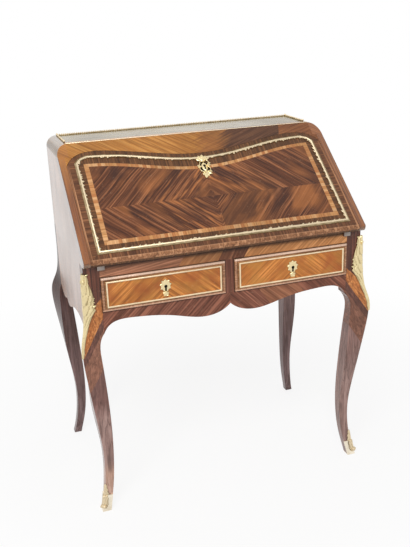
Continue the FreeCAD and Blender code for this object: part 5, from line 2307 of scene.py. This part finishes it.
@dataclass
class Studio:
    """White floor and background, soft lamps and the camera.

    Args:
        spot: Place of the camera.
        azimuth: Its direction from the desk, in degrees.
        elevation: Its height over the desk, in degrees.
        roll: Its tilt, in degrees.
        focal: Its focal length, in pixels of the photograph.
        tall: Height of the photograph, in pixels.
        sky: Strength of the light from the background.
        lamps: The lamps.
    """

    spot: Triple = (-0.6475, -1.9746, 1.2772)
    azimuth: float = -18.35
    elevation: float = 19.51
    roll: float = -2.05
    focal: float = 783.4
    tall: float = 547.0
    sky: float = 0.5
    lamps: tuple[Lamp, ...] = (
        Lamp("key_lamp", (-1.3, -2.3, 2.9), (0.0, 0.0, 0.5), (1.8, 1.8), 78.0),
        Lamp("back_lamp", (0.2, 3.0, 2.2), (0.0, 0.1, 0.8), (4.0, 1.8), 14.0))

    def camera(self) -> None:
        """Camera at the photograph's viewpoint."""
        data = bpy.data.cameras.new("camera")
        data.lens = self.focal * data.sensor_width / self.tall
        piece = linked("camera", data)
        matrix = Matrix.Translation(self.spot)
        for degrees, axis in ((self.azimuth, "Z"), (90 - self.elevation, "X"), (self.roll, "Z")):
            matrix = matrix @ Matrix.Rotation(math.radians(degrees), 4, axis)
        piece.matrix_world = matrix
        bpy.context.scene.camera = piece

    def seen(self, g: Graph) -> Wire:
        """1 for rays that show the background itself: straight, mirrored or through glass.

        Args:
            g: Graph of the background or floor.

        Returns:
            The mask.
        """
        path = g.add("ShaderNodeLightPath").outputs
        rays = [Wire(g, path[f"Is {kind} Ray"]) for kind in ("Camera", "Glossy", "Transmission")]
        return g.math("MAXIMUM", g.math("MAXIMUM", *rays[:2]), rays[2])

    def world(self) -> None:
        """White background, and an even sky that lights less than it shows."""
        world = bpy.data.worlds.new("studio")
        bpy.context.scene.world = world
        world.use_nodes = True
        g = Graph(world.node_tree)
        sky = world.node_tree.nodes["Background"]
        g.put(sky.inputs["Color"], (1, 1, 1))
        g.put(sky.inputs["Strength"], self.seen(g) * (1 - self.sky) + self.sky)

    def floor(self) -> None:
        """Pale floor that keeps a soft shadow."""
        bpy.ops.mesh.primitive_plane_add(size=14, location=(0, 0, -0.0005))
        floor = added("studio_floor")
        made = bpy.data.materials.new("studio_floor")
        made.use_nodes = True
        g = Graph(made.node_tree)
        surface = made.node_tree.nodes["Principled BSDF"]
        paint = {"Base Color": (0.9, 0.9, 0.9), "Roughness": 0.9, "Specular IOR Level": 0.0}
        for socket, value in paint.items():
            g.put(surface.inputs[socket], value)
        glow = g.wire("ShaderNodeEmission", 0, {"Color": (1, 1, 1), "Strength": 1.0})
        place = g.wire("ShaderNodeTexCoord", "Object")
        far = g.wire("ShaderNodeVectorMath", "Value", {0: place}, operation="LENGTH")
        share = self.seen(g) * g.spread(far, 0.5, 1.5, (0.84, 1.0))
        both = g.wire("ShaderNodeMixShader", 0, {0: share, 1: Wire(g, surface.outputs[0]), 2: glow})
        g.put(made.node_tree.nodes["Material Output"].inputs["Surface"], both)
        floor.data.materials.append(made)
        settle(floor)

    def build(self) -> None:
        """Sets up the studio."""
        bpy.context.scene.view_settings.view_transform = "Standard"
        self.world()
        self.floor()
        for lamp in self.lamps:
            lamp.build()
        self.camera()


def main() -> None:
    """Builds the desk's sub-assemblies in order, then the studio."""
    Carcase().build()
    TopTrim().build()
    for side in Side:
        LegMounts(side=side).build()
    Fall().build()
    for side in Side:
        Drawer(side=side).build()
        Loper(side=side).build()
        InnerDrawer(side=side).build()
    Studio().build()
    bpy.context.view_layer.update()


if __name__ == "__main__":
    main()
